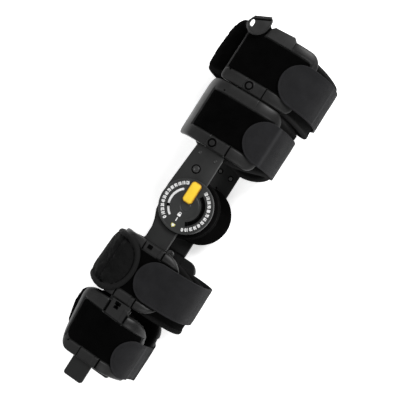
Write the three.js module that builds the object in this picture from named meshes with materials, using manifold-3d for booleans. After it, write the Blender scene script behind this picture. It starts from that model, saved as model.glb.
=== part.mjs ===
// Hinged knee brace lying on its far (medial) side, in millimetres with +Z up and +Y toward the thigh.
// It is drawn around the hinge axis (x = 0, y = 0) and the middle plane (z = 0), and moved to its floor last.
import * as THREE from 'three';
import { mergeVertices } from 'three/addons/utils/BufferGeometryUtils.js';
import Module from 'manifold-3d';

const wasm = await Module();
wasm.setup();
const { lerp, smoothstep, clamp, degToRad } = THREE.MathUtils;

// Layers, counted outward from the middle plane.
// CUT_PAST and JOIN_OVER: how far a cutting or joined solid runs past the face that it meets.
const GAP = 0.3;
const CUT_PAST = 1;
const JOIN_OVER = 8;
const BAR_INNER = 51;
const BAR_THICK = 3;
const LINER_HALF = BAR_INNER - GAP;
const LINER_THICK = 7;
const LINER_EDGE = 2.6;

// Layers of a cuff, counted outward from the liner's outer face
const SHELL_INNER = 0.3;
const SHELL_FLAT = 6.3;
const SHELL_EDGE = 3.3;
const SHELL_BEVEL = 0.9;
const PAD_THICK = 1.5;
const STRAP_THICK = 2.8;
const STRAP_ON_LINER = 0.4;
const WING_NEAR = 5;
const WING_FAR = 2.8;
const WING_SIDE = 7;

// The flat middle of each cuff, where the bar runs
const FLAT_LEFT = -30;
const FLAT_RIGHT = 10;
const BOW_STEPS = 10;

// Uprights
const SLIM_BAR = { left: -18.2, right: 6.2, top: 219, bottom: -228.4, corner: 3 };
const THIGH_PLATE = { left: -28.2, leftAtHinge: -32.2, right: 7.4, rightMedial: 10.2, end: 67.4, disc: 30 };
const CALF_PLATE = {
  left: -21.7, right: 6.9, end: -54.2, disc: 28, shoulder: 32.2, tongueEnd: -53, webTop: -35,
  gusset: [-31.2, -29, -24.8], gussetY: [-5, -20, -30], gussetEnd: -42,
};
const RIVETS = [
  { x: -20, y: 59, radius: 1.9, head: 0.7 },
  { x: 0.6, y: 59, radius: 1.9, head: 0.7 },
  { x: -13.6, y: 41, radius: 4, head: 0.9 },
];

// Hinge
const DIAL = { radius: 31.4, thick: 4, chamfer: 1.2, slotIn: 18.2, slotOut: 21.4, slotDepth: 1.5 };
const SLOT_ANGLES = { extension: [126, 240], flexion: [-52, 62] };
const STOP_ANGLES = { extension: 205, flexion: -46 };
const STOP = { width: 9, height: 2.2 };
const SLIDER = { width: 13.9, length: 27.4, y: 17.4, thick: 3.1, corner: 4, bevel: 0.8 };
const PIN = { shaft: 4, head: 8, headThick: 1.5, rise: 5.6 };
const PIN_SIDES = 12;
const DISC_SIDES = 28;
const DIAL_SIDES = 36;
const CONDYLE = { radius: 34.7, thick: 10, round: 3.5 };

// Cuffs. low/high: shell's ends along y. leftLow/leftHigh/right: how far the liner bows out past the flat.
// shellLeft/shellRight and padLeft/padRight: where they end on the bow, in degrees.
// Corner radii of the shell: t top, b bottom, l left, r right.
// linerLow/linerHigh: the liner's edges at the left side, the flat's left and right ends, and the right side.
const CUFFS = {
  upper_thigh: {
    low: 143.4, high: 218, leftLow: 48.6, leftHigh: 46.2, right: 53.4,
    shellLeft: 22, shellRight: 33, tl: 6, tr: 16, bl: 6, br: 10,
    padLeft: 17, padRight: 23, padLow: 158, padHigh: 205.5,
    strapY: 177.6, strapDrop: -1, strapHeight: 50, tabNear: 12.5, tabFar: -23,
    linerLow: [149, 143.8, 143.8, 137.4], linerHigh: [219, 216.5, 216.5, 207],
    lockEdge: 'low',
  },
  lower_thigh: {
    low: 68, high: 142.2, leftLow: 30.2, leftHigh: 30.2, right: 41.9,
    shellLeft: 66, shellRight: 40, tl: 20, tr: 15, bl: 3, br: 12,
    padLeft: 25, padRight: 28, padLow: 83, padHigh: 128,
    strapY: 103.8, strapDrop: 0, strapHeight: 50, tabNear: 12.5, tabFar: -23,
    linerLow: [71, 68.4, 63.4, 76], linerHigh: [122, 141.6, 141.6, 132.5],
    lockEdge: 'low',
  },
  upper_calf: {
    low: -127, high: -54.8, leftLow: 27.5, leftHigh: 22.5, right: 50.8,
    shellLeft: 48, shellRight: 29, tl: 6, tr: 14, bl: 8, br: 12,
    padLeft: 20, padRight: 20, padLow: -115, padHigh: -66.5,
    strapY: -90.6, strapDrop: 0, strapHeight: 48, tabNear: -6.4, tabFar: -6.4,
    linerLow: [-124, -127.6, -128, -130], linerHigh: [-60, -55.4, -56.4, -74],
    lockEdge: 'high',
  },
  lower_calf: {
    low: -203.4, high: -131, leftLow: 19, leftHigh: 34.8, right: 27.2,
    shellLeft: 34, shellRight: 64, tl: 9, tr: 20, bl: 20, br: 10,
    padLeft: 18, padRight: 48, padLow: -192, padHigh: -147,
    strapY: -177, strapDrop: -8, strapHeight: 46, tabNear: 18.5, tabFar: -23,
    linerLow: [-188, -202.8, -203.2, -205], linerHigh: [-140, -131.4, -131.4, -164],
    lockEdge: 'high',
  },
};
const CHANNEL = { left: -19.5, right: 6, rise: 7, inset: 0.6 };
const TOP_CHANNEL = { left: -25, right: 7, top: 221.5, chamfer: 3.5 };
const LOCK_BUTTON = { x: -10.5, width: 10.5, length: 8, thick: 0.7, corner: 1.5, inset: 0.9 };
const WING = { end: -8, endLength: 26, high: -59, low: -127.4, sideHigh: -60, sideLow: -119 };
const STRAP_LOOP = {
  x: -34.9, y: 212, turn: 29, half: 11.6, top: 12.5, thick: 2.8, round: 10.5, lip: 3, lipRise: 1.3,
  slot: { left: -9.6, right: -5.8, low: -0.5, high: 8 },
  foot: { left: -39, right: -29, low: 207.5, high: 215.5, thick: 1.8 },
};

function paint(color, roughness, metalness) {
  return new THREE.MeshStandardMaterial({ color, roughness, metalness });
}

const MATERIAL = {
  coated: paint(0x37393a, 0.45, 0.6),
  plastic: paint(0x35383a, 0.5, 0),
  dial: paint(0x2a2d2e, 0.45, 0),
  yellow: paint(0xf3bb2c, 0.4, 0),
  fabric: paint(0x141416, 0.95, 0),
  velvet: paint(0x08080a, 1, 0),
  knit: paint(0x26272a, 0.9, 0),
};

// A closed solid as manifold-3d holds it, and back again
function solid(geometry) {
  const bare = new THREE.BufferGeometry();
  bare.setAttribute('position', geometry.getAttribute('position'));
  if (geometry.index) {
    bare.setIndex(geometry.index);
  }
  const merged = mergeVertices(bare, 1e-4);
  return new wasm.Manifold(new wasm.Mesh({
    numProp: 3,
    vertProperties: new Float32Array(merged.getAttribute('position').array),
    triVerts: new Uint32Array(merged.index.array),
  }));
}

function geometryOf(body) {
  const mesh = body.getMesh();
  const geometry = new THREE.BufferGeometry();
  geometry.setAttribute('position', new THREE.BufferAttribute(new Float32Array(mesh.vertProperties), 3));
  geometry.setIndex(new THREE.BufferAttribute(new Uint32Array(mesh.triVerts), 1));
  return geometry;
}

// A skin over rings of points, closed round or capped at both ends, with its faces turned outward.
// Each quad is split along its shorter diagonal, so that mirrored skins match.
function skin(rings, closed) {
  const count = rings[0].length;
  const points = rings.flat().map((place) => new THREE.Vector3(...place));
  const faces = [];
  const steps = closed ? rings.length : rings.length - 1;
  for (let step = 0; step < steps; step++) {
    const here = step * count;
    const next = ((step + 1) % rings.length) * count;
    for (let point = 0; point < count; point++) {
      const beside = (point + 1) % count;
      const [a, b, c, d] = [here + point, next + point, next + beside, here + beside];
      if (points[a].distanceTo(points[c]) <= points[b].distanceTo(points[d])) {
        faces.push([a, b, c], [a, c, d]);
      } else {
        faces.push([a, b, d], [b, c, d]);
      }
    }
  }
  const last = (rings.length - 1) * count;
  for (let point = 1; !closed && point < count - 1; point++) {
    faces.push([0, point, point + 1], [last, last + point + 1, last + point]);
  }
  const volume = faces.reduce((sum, [a, b, c]) => sum + points[a].dot(points[b].clone().cross(points[c])), 0);
  const index = volume < 0 ? faces.map(([a, b, c]) => [a, c, b]).flat() : faces.flat();
  const geometry = new THREE.BufferGeometry();
  geometry.setAttribute('position', new THREE.Float32BufferAttribute(rings.flat(2), 3));
  geometry.setIndex(index);
  return geometry;
}

// A place on a cuff. Station -2 is the left side, -1 to 1 the near flat and 2 the right side.
// Past those it runs on over the far half.
function foldStation(station) {
  if (station > 2) {
    return { near: 4 - station, side: -1 };
  }
  if (station < -2) {
    return { near: -4 - station, side: -1 };
  }
  return { near: station, side: 1 };
}

function bowAngle(near) {
  return Math.max(0, Math.abs(near) - 1) * Math.PI / 2;
}

function placeOn(cuff, station, offset, y) {
  const { near, side } = foldStation(station);
  const rise = clamp((y - cuff.low) / (cuff.high - cuff.low), 0, 1);
  const angle = bowAngle(near);
  const z = side * (LINER_HALF + offset) * Math.cos(angle);
  if (near < -1) {
    return [FLAT_LEFT - (lerp(cuff.leftLow, cuff.leftHigh, rise) + offset) * Math.sin(angle), y, z];
  }
  if (near > 1) {
    return [FLAT_RIGHT + (cuff.right + offset) * Math.sin(angle), y, z];
  }
  return [lerp(FLAT_LEFT, FLAT_RIGHT, (near + 1) / 2), y, z];
}

const leftStation = (degrees) => -1 - degrees / 90;
const rightStation = (degrees) => 1 + degrees / 90;

function stationAtX(cuff, x, offset) {
  if (x <= FLAT_RIGHT) {
    return -1 + 2 * (x - FLAT_LEFT) / (FLAT_RIGHT - FLAT_LEFT);
  }
  return 1 + Math.asin((x - FLAT_RIGHT) / (cuff.right + offset)) / (Math.PI / 2);
}

// Distances along a cuff between two stations
function ruler(cuff, from, to, offset, y) {
  const marks = 240;
  const lengths = [0];
  for (let mark = 1; mark <= marks; mark++) {
    const before = new THREE.Vector3(...placeOn(cuff, lerp(from, to, (mark - 1) / marks), offset, y));
    const after = new THREE.Vector3(...placeOn(cuff, lerp(from, to, mark / marks), offset, y));
    lengths.push(lengths[mark - 1] + after.distanceTo(before));
  }
  const stationAt = (length) => {
    const mark = clamp(lengths.findIndex((value) => value >= length), 1, marks);
    const share = (length - lengths[mark - 1]) / (lengths[mark] - lengths[mark - 1]);
    return lerp(from, to, (mark - 1 + clamp(share, 0, 1)) / marks);
  };
  const lengthAt = (station) => {
    const place = clamp(marks * (station - from) / (to - from), 0, marks);
    const mark = Math.min(Math.floor(place), marks - 1);
    return lerp(lengths[mark], lengths[mark + 1], place - mark);
  };
  return { from, to, total: lengths[marks], stationAt, lengthAt };
}

// All layers share these stations on the bows, so that their facets nest
function gridStations(from, to) {
  const low = Math.min(from, to);
  const high = Math.max(from, to);
  const steps = Array.from({ length: 16 * BOW_STEPS + 1 }, (_, step) => step / BOW_STEPS - 8);
  return steps.filter((station) => {
    const { near } = foldStation(station);
    return station > low && station < high && Math.abs(near) > 1 - 1e-9;
  });
}

// Cuts across a band: the shared stations and the cuts that shape its ends, in order along it
function cutsAlong(along, endLengths) {
  const ends = endLengths.flatMap((length) => [length, along.total - length]);
  const grid = gridStations(along.from, along.to).map(along.lengthAt);
  const free = grid.filter((length) => ends.every((other) => Math.abs(other - length) > 0.4));
  const ordered = [...ends, ...free].sort((a, b) => a - b);
  return ordered.filter((length, place) => place === 0 || length - ordered[place - 1] > 1e-6);
}

const roundCuts = (radius, turns) => turns.map((turn) => radius * (1 - Math.cos(degToRad(turn))));

// How far the shell's outer face stands off the liner
function shellOuter(cuff, station) {
  const { near } = foldStation(station);
  const reach = degToRad(near < 0 ? cuff.shellLeft : cuff.shellRight);
  return lerp(SHELL_FLAT, SHELL_EDGE, clamp(bowAngle(near) / reach, 0, 1));
}

const overPad = (cuff, station) => shellOuter(cuff, station) + GAP + PAD_THICK + GAP;

// The strap lies on the loop pad, and past the pad's right end it comes down onto the liner
function strapInner(cuff, station) {
  const { near } = foldStation(station);
  const landed = degToRad(Math.max(cuff.padRight + 36, 78));
  const drop = smoothstep(bowAngle(near), degToRad(cuff.padRight), landed);
  const lifted = shellOuter(cuff, Math.min(near, rightStation(cuff.padRight))) + 2 * GAP + PAD_THICK;
  return near > 1 ? lerp(lifted, STRAP_ON_LINER, drop) : overPad(cuff, near);
}

// The padded liner goes all the way round, with rounded rims
function liner(cuff) {
  const edgeAt = ([left, flatLeft, flatRight, right], near) => {
    const flat = lerp(flatLeft, flatRight, clamp((near + 1) / 2, 0, 1));
    return lerp(flat, near < 0 ? left : right, Math.sin(bowAngle(near)) ** 2);
  };
  const rings = [-2, ...gridStations(-2, 6)].map((station) => {
    const { near } = foldStation(station);
    const low = edgeAt(cuff.linerLow, near);
    const high = edgeAt(cuff.linerHigh, near);
    const rows = [
      [0, low + LINER_EDGE], [0, high - LINER_EDGE], [-LINER_THICK / 2, high],
      [-LINER_THICK, high - LINER_EDGE], [-LINER_THICK, low + LINER_EDGE], [-LINER_THICK / 2, low],
    ];
    return rows.map(([offset, y]) => placeOn(cuff, station, offset, y));
  });
  return skin(rings, true);
}

// A shell or pad: a curved plate with rounded corners, between two stations of the near half
function plate(cuff, spec) {
  const along = ruler(cuff, spec.from, spec.to, SHELL_EDGE, (cuff.low + cuff.high) / 2);
  const radii = [spec.tl, spec.tr, spec.bl, spec.br];
  const cuts = cutsAlong(along, roundCuts(Math.max(...radii), spec.turns));
  const roundOff = (radius, length) => {
    const short = Math.max(0, radius - length);
    return radius - Math.sqrt(radius ** 2 - short ** 2);
  };
  const rings = cuts.map((length) => {
    const station = along.stationAt(length);
    const back = along.total - length;
    const high = spec.high - Math.max(roundOff(spec.tl, length), roundOff(spec.tr, back));
    const low = spec.low + Math.max(roundOff(spec.bl, length), roundOff(spec.br, back));
    const inner = spec.inner(station);
    const outer = spec.outer(station);
    const bevel = spec.bevel;
    const rows = [
      [inner, low], [inner, high], [outer - bevel, high],
      [outer, high - bevel], [outer, low + bevel], [outer - bevel, low],
    ];
    return rows.map(([offset, y]) => placeOn(cuff, station, offset, y));
  });
  return skin(rings, false);
}

function block(left, right, low, high, bottom, top) {
  const box = new THREE.BoxGeometry(right - left, high - low, top - bottom);
  return solid(box.translate((left + right) / 2, (low + high) / 2, (bottom + top) / 2));
}

function shell(cuff, isTopCuff) {
  const body = solid(plate(cuff, {
    from: leftStation(cuff.shellLeft), to: rightStation(cuff.shellRight),
    tl: cuff.tl, tr: cuff.tr, bl: cuff.bl, br: cuff.br, low: cuff.low, high: cuff.high,
    inner: () => SHELL_INNER, outer: (station) => shellOuter(cuff, station), bevel: SHELL_BEVEL,
    turns: [0, 25, 45, 65, 90],
  }));
  const roof = BAR_INNER + BAR_THICK + GAP;
  const groove = block(
    SLIM_BAR.left - GAP, SLIM_BAR.right + GAP,
    cuff.low - CUT_PAST, cuff.high + CUT_PAST, BAR_INNER - CUT_PAST, roof,
  );
  const top = BAR_INNER + CHANNEL.rise;
  const base = roof + CHANNEL.inset;
  const padLow = cuff.padLow - CHANNEL.inset;
  const padHigh = cuff.padHigh + CHANNEL.inset;
  const lowBlock = block(CHANNEL.left, CHANNEL.right, cuff.low, padLow, base, top);
  let highBlock = block(CHANNEL.left, CHANNEL.right, padHigh, cuff.high, base, top);
  if (isTopCuff) {
    const { left, right, top: end, chamfer } = TOP_CHANNEL;
    const outline = new THREE.Shape();
    outline.moveTo(left, padHigh);
    outline.lineTo(right, padHigh);
    outline.lineTo(right, end - chamfer);
    outline.lineTo(right - chamfer, end);
    outline.lineTo(left + chamfer, end - 1);
    outline.lineTo(left, end - chamfer - 1);
    highBlock = solid(slab(outline, base, top, 1));
  }
  return geometryOf(body.subtract(groove).add(lowBlock).add(highBlock));
}

function loopPad(cuff) {
  const corner = 2;
  return plate(cuff, {
    from: leftStation(cuff.padLeft), to: rightStation(cuff.padRight),
    tl: corner, tr: corner, bl: corner, br: corner, low: cuff.padLow, high: cuff.padHigh,
    inner: (station) => shellOuter(cuff, station) + GAP,
    outer: (station) => shellOuter(cuff, station) + GAP + PAD_THICK,
    bevel: 0.4,
    turns: [0, 50, 90],
  });
}

// A flat piece: an outline in x and y, between two heights
function slab(outline, bottom, top, curveSegments = 12) {
  const settings = { depth: top - bottom, bevelEnabled: false, curveSegments };
  return new THREE.ExtrudeGeometry(outline, settings).translate(0, 0, bottom);
}

function roundedRectangle(left, right, low, high, radius) {
  const outline = new THREE.Shape();
  outline.moveTo(left + radius, low);
  outline.lineTo(right - radius, low);
  outline.absarc(right - radius, low + radius, radius, -Math.PI / 2, 0, false);
  outline.lineTo(right, high - radius);
  outline.absarc(right - radius, high - radius, radius, 0, Math.PI / 2, false);
  outline.lineTo(left + radius, high);
  outline.absarc(left + radius, high - radius, radius, Math.PI / 2, Math.PI, false);
  outline.lineTo(left, low + radius);
  outline.absarc(left + radius, low + radius, radius, Math.PI, Math.PI * 1.5, false);
  return outline;
}

// A strap goes from its round near tab over the right side to its round far end
function strap(cuff) {
  const from = stationAtX(cuff, cuff.tabNear, strapInner(cuff, 1));
  const to = 4 - stationAtX(cuff, cuff.tabFar, strapInner(cuff, 0));
  const along = ruler(cuff, from, to, SHELL_FLAT, cuff.strapY);
  const radius = cuff.strapHeight / 2;
  const rings = cutsAlong(along, roundCuts(radius, [12, 30, 48, 68, 90])).map((length) => {
    const station = along.stationAt(length);
    const short = Math.max(0, radius - Math.min(length, along.total - length));
    const half = Math.sqrt(radius ** 2 - short ** 2);
    const middle = cuff.strapY + cuff.strapDrop * Math.min(1, 2 * length / along.total);
    const inner = strapInner(cuff, station);
    const outer = inner + STRAP_THICK;
    const rows = [
      [inner, middle - half], [inner, middle + half], [outer, middle + half], [outer, middle - half],
    ];
    return rows.map(([offset, y]) => placeOn(cuff, station, offset, y));
  });
  return skin(rings, false);
}

// The calf wing goes from its round near end over the left side to its round far end
function wing(cuff) {
  const from = stationAtX(cuff, WING.end, 0);
  const along = ruler(cuff, from, -4 - from, SHELL_FLAT + PAD_THICK, cuff.strapY);
  const rings = cutsAlong(along, roundCuts(WING.endLength, [14, 32, 50, 70, 90])).map((length) => {
    const station = along.stationAt(length);
    const { near, side } = foldStation(station);
    const short = Math.max(0, 1 - Math.min(length, along.total - length) / WING.endLength);
    const share = Math.sqrt(1 - short ** 2);
    const bow = Math.sin(bowAngle(near)) ** 2;
    const high = lerp(WING.high, WING.sideHigh, bow);
    const low = lerp(WING.low, WING.sideLow, bow);
    const middle = (high + low) / 2;
    const half = share * (high - low) / 2;
    const leave = smoothstep(bowAngle(near), degToRad(cuff.shellLeft), degToRad(80));
    const inner = lerp(overPad(cuff, near), STRAP_ON_LINER, leave);
    const thick = lerp(0.62, 1, share) * lerp(side > 0 ? WING_NEAR : WING_FAR, WING_SIDE, bow);
    const outer = inner + thick;
    const edge = Math.min(1.1, thick / 3);
    const rows = [
      [inner, middle - half], [inner, middle + half], [outer - edge, middle + half],
      [outer, middle + half - edge], [outer, middle - half + edge], [outer - edge, middle - half],
    ];
    return rows.map(([offset, y]) => placeOn(cuff, station, offset, y));
  });
  return skin(rings, false);
}

function turned(profile, segments) {
  const points = profile.map(([radius, height]) => new THREE.Vector2(radius, height));
  return new THREE.LatheGeometry(points, segments).rotateX(Math.PI / 2);
}

function rod(x, y, radius, bottom, top, segments = 16) {
  return solid(turned([[0, bottom], [radius, bottom], [radius, top], [0, top]], segments).translate(x, y, 0));
}

function ringSector(inner, outer, fromDegrees, toDegrees) {
  const outline = new THREE.Shape();
  outline.absarc(0, 0, outer, degToRad(fromDegrees), degToRad(toDegrees), false);
  outline.absarc(0, 0, inner, degToRad(toDegrees), degToRad(fromDegrees), true);
  return outline;
}

// The slim part of an upright, that runs through the shells
function slimBar(from, to) {
  const { left, right, corner } = SLIM_BAR;
  return solid(slab(roundedRectangle(left, right, from, to, corner), BAR_INNER, BAR_INNER + BAR_THICK, 3));
}

// The thigh upright: a hinge disc, a wide plate with rivets and a slim bar, in one level
function thighUpright(right) {
  const { left, leftAtHinge, end, disc } = THIGH_PLATE;
  const low = BAR_INNER;
  const high = BAR_INNER + BAR_THICK;
  const outline = new THREE.Shape([[leftAtHinge, 0], [right, 0], [right, end], [left, end], [leftAtHinge, 12]]
    .map(([x, y]) => new THREE.Vector2(x, y)));
  const wide = solid(slab(outline, low, high));
  const slim = slimBar(end - JOIN_OVER, SLIM_BAR.top);
  let body = rod(0, 0, disc, low, high, DISC_SIDES).add(wide).add(slim);
  for (const rivet of RIVETS) {
    body = body.add(rod(rivet.x, rivet.y, rivet.radius, low - rivet.head, high + rivet.head, 10));
  }
  return geometryOf(body.subtract(rod(0, 0, PIN.shaft + GAP, low - CUT_PAST, high + CUT_PAST, PIN_SIDES)));
}

// The calf upright: a tongue under the thigh disc, stepped up to a plate and a slim bar at the thigh's level
function calfUpright() {
  const { left, right, end, disc, shoulder, tongueEnd, webTop, gusset, gussetY, gussetEnd } = CALF_PLATE;
  const low = BAR_INNER;
  const high = BAR_INNER + BAR_THICK;
  const under = low - GAP;
  const outline = new THREE.Shape();
  outline.moveTo(0, 0);
  gusset.forEach((x, row) => outline.lineTo(x, gussetY[row]));
  outline.lineTo(left, gussetEnd);
  outline.lineTo(0, gussetEnd);
  const tongue = rod(0, 0, disc, under - BAR_THICK, under, DISC_SIDES)
    .add(solid(slab(outline, under - BAR_THICK, under)))
    .add(block(left, right, tongueEnd, -JOIN_OVER, under - BAR_THICK, under));
  const clearance = rod(0, 0, shoulder, low - CUT_PAST, high + CUT_PAST, DIAL_SIDES);
  const plateBlock = block(left, right, end, 0, low, high).subtract(clearance);
  const slim = slimBar(SLIM_BAR.bottom, end + JOIN_OVER);
  const web = block(left, right, tongueEnd, webTop, under - CUT_PAST, low + CUT_PAST);
  const hole = rod(0, 0, PIN.shaft + GAP, under - BAR_THICK - CUT_PAST, under + CUT_PAST, PIN_SIDES);
  return geometryOf(tongue.add(plateBlock).add(slim).add(web).subtract(hole));
}

const DIAL_BASE = BAR_INNER + BAR_THICK + GAP;
const DIAL_FACE = DIAL_BASE + DIAL.thick;

function dial() {
  const { radius, chamfer } = DIAL;
  let body = solid(turned([
    [0, DIAL_BASE], [radius, DIAL_BASE], [radius, DIAL_FACE - chamfer],
    [radius - chamfer, DIAL_FACE], [0, DIAL_FACE],
  ], DIAL_SIDES));
  for (const [from, to] of Object.values(SLOT_ANGLES)) {
    const slot = ringSector(DIAL.slotIn, DIAL.slotOut, from, to);
    body = body.subtract(solid(slab(slot, DIAL_FACE - DIAL.slotDepth, DIAL_FACE + CUT_PAST, 8)));
  }
  const pinTop = BAR_INNER + PIN.rise + GAP;
  return geometryOf(body.subtract(rod(0, 0, PIN.shaft + GAP, DIAL_BASE - CUT_PAST, pinTop, PIN_SIDES)));
}

function stop(angle) {
  const outline = ringSector(
    DIAL.slotIn + GAP, DIAL.slotOut - GAP, angle - STOP.width / 2, angle + STOP.width / 2,
  );
  const bottom = DIAL_FACE - DIAL.slotDepth + GAP;
  return slab(outline, bottom, bottom + STOP.height, 4);
}

function lockSlider() {
  const { width, length, y, thick, corner, bevel } = SLIDER;
  const outline = roundedRectangle(
    -width / 2 + bevel, width / 2 - bevel, y - length / 2 + bevel, y + length / 2 - bevel, corner - bevel,
  );
  const geometry = new THREE.ExtrudeGeometry(outline, {
    depth: thick - 2 * bevel, bevelThickness: bevel, bevelSize: bevel, bevelSegments: 1, curveSegments: 2,
  });
  return geometry.translate(0, 0, DIAL_FACE + GAP + bevel);
}

function hingePin() {
  const under = BAR_INNER - GAP - BAR_THICK - GAP;
  return turned([
    [0, under - PIN.headThick], [PIN.head, under - PIN.headThick], [PIN.head, under], [PIN.shaft, under],
    [PIN.shaft, BAR_INNER + PIN.rise], [0, BAR_INNER + PIN.rise],
  ], PIN_SIDES);
}

function condylePad() {
  const top = BAR_INNER - 3 * GAP - BAR_THICK - PIN.headThick;
  const { radius, thick, round } = CONDYLE;
  const profile = [[0, top - thick]];
  for (const turn of [-90, -60, -30, 0]) {
    profile.push([
      radius - round * (1 - Math.cos(degToRad(turn))), top - thick + round * (1 + Math.sin(degToRad(turn))),
    ]);
  }
  profile.push([radius, top - 1.5], [radius - 1.5, top], [0, top]);
  return turned(profile, DISC_SIDES);
}

function lockButton(cuff) {
  const { x, width, length, thick, corner, inset } = LOCK_BUTTON;
  const low = cuff.lockEdge === 'low' ? cuff.low + inset : cuff.high - inset - length;
  const bottom = BAR_INNER + CHANNEL.rise + GAP;
  const outline = roundedRectangle(x - width / 2, x + width / 2, low, low + length, corner);
  return slab(outline, bottom, bottom + thick, 3);
}

// A moulded loop with a slot and a raised lip, on a small foot on the upper thigh shell
function strapLoop() {
  const { x, y, turn, half, top, thick, round, lip, lipRise, slot, foot } = STRAP_LOOP;
  const outline = new THREE.Shape();
  outline.moveTo(-half, top);
  outline.lineTo(-half, -1);
  outline.absarc(round - half, -1, round, Math.PI, Math.PI * 1.85, false);
  outline.lineTo(half - 1, top / 2);
  outline.lineTo(half, top);
  outline.holes.push(new THREE.Path([[slot.left, slot.high], [slot.left, slot.low],
    [slot.right, slot.low - 1], [slot.right, slot.high]].map(([left, low]) => new THREE.Vector2(left, low))));
  const bottom = BAR_INNER + CHANNEL.rise + 1.1;
  const turnAll = (geometry) => solid(geometry.rotateZ(degToRad(turn)).translate(x, y, 0));
  const bar = new THREE.BoxGeometry(2 * half, lip, thick);
  bar.translate(0, top - lip / 2, bottom + thick / 2 + lipRise);
  return geometryOf(turnAll(slab(outline, bottom, bottom + thick, 6))
    .add(turnAll(bar))
    .add(block(foot.left, foot.right, foot.low, foot.high, bottom - foot.thick, bottom + thick / 2)));
}

// Assembly
const brace = new THREE.Group();

function put(name, geometry, material, mirrored = false) {
  const mesh = new THREE.Mesh(geometry, material);
  mesh.name = name;
  if (mirrored) {
    mesh.scale.z = -1;
  }
  brace.add(mesh);
}

function putPair(name, geometry, material) {
  put(`${name}_lateral`, geometry, material);
  put(`${name}_medial`, geometry, material, true);
}

put('thigh_upright_lateral', thighUpright(THIGH_PLATE.right), MATERIAL.coated);
put('thigh_upright_medial', thighUpright(THIGH_PLATE.rightMedial), MATERIAL.coated, true);
putPair('calf_upright', calfUpright(), MATERIAL.coated);
putPair('dial', dial(), MATERIAL.dial);
putPair('extension_stop', stop(STOP_ANGLES.extension), MATERIAL.plastic);
putPair('flexion_stop', stop(STOP_ANGLES.flexion), MATERIAL.plastic);
putPair('lock_slider', lockSlider(), MATERIAL.yellow);
putPair('hinge_pin', hingePin(), MATERIAL.coated);
putPair('condyle_pad', condylePad(), MATERIAL.fabric);
for (const [name, cuff] of Object.entries(CUFFS)) {
  put(`${name}_liner`, liner(cuff), MATERIAL.fabric);
  putPair(`${name}_shell`, shell(cuff, name === 'upper_thigh'), MATERIAL.plastic);
  putPair(`${name}_loop_pad`, loopPad(cuff), MATERIAL.velvet);
  putPair(`${name}_lock_button`, lockButton(cuff), MATERIAL.plastic);
  put(`${name}_strap`, strap(cuff), MATERIAL.knit);
}
put('upper_calf_wing', wing(CUFFS.upper_calf), MATERIAL.fabric);
put('upper_thigh_strap_loop', strapLoop(), MATERIAL.plastic);

// The middle of the whole brace goes over the origin, and its lowest straps onto the floor at z = 0
brace.updateMatrixWorld(true);
const bounds = new THREE.Box3().setFromObject(brace);
const middle = bounds.getCenter(new THREE.Vector3());
brace.position.set(-middle.x, -middle.y, -bounds.min.z);

const group = new THREE.Group();
group.add(brace);

export default group;
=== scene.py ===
"""Hinged knee brace: the surfaces, cloth and markings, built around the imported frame.

Shapes are worked out in millimetres around the hinge axis and the brace's middle plane, with +Y toward the
thigh and +Z toward the lateral side, and are moved into the frame, in metres, when their meshes are made.
"""

import math

import bmesh
import bpy
import numpy as np
from mathutils import Matrix, Vector


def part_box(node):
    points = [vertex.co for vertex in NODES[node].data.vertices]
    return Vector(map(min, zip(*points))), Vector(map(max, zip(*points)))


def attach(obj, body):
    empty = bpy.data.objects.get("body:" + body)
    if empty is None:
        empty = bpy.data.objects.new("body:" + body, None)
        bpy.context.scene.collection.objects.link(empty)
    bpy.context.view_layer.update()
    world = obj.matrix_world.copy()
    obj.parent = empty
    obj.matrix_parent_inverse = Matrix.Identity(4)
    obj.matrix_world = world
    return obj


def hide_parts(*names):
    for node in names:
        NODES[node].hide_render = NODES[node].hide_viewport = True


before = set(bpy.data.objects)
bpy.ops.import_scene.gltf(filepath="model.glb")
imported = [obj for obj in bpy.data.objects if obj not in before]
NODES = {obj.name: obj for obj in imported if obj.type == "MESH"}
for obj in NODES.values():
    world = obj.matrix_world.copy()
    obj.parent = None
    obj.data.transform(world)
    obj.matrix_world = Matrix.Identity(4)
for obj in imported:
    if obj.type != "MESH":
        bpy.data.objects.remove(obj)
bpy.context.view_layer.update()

MM = 0.001
SIDES = {"lateral": 1, "medial": -1}
NEAR_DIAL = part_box("dial_lateral")
FAR_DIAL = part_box("dial_medial")
HINGE = np.array([
    (NEAR_DIAL[0].x + NEAR_DIAL[1].x) / 2,
    (NEAR_DIAL[0].y + NEAR_DIAL[1].y) / 2,
    (NEAR_DIAL[0].z + FAR_DIAL[1].z) / 2,
])

# Layers, counted outward from the middle plane
GAP = 0.3
BAR_INNER = 51
BAR_THICK = 3
LINER_HALF = BAR_INNER - GAP
LINER_THICK = 7

# Layers of a cuff, counted outward from the liner's outer face
SHELL_INNER = 0.3
SHELL_FLAT = 6.3
SHELL_EDGE = 3.3
SHELL_BORDER = 1.8
PAD_THICK = 1.5
STRAP_THICK = 2.8
STRAP_ON_LINER = 0.4
WING_NEAR = 5
WING_FAR = 2.8
WING_SIDE = 7
FLAT_LEFT = -30
FLAT_RIGHT = 10

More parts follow.
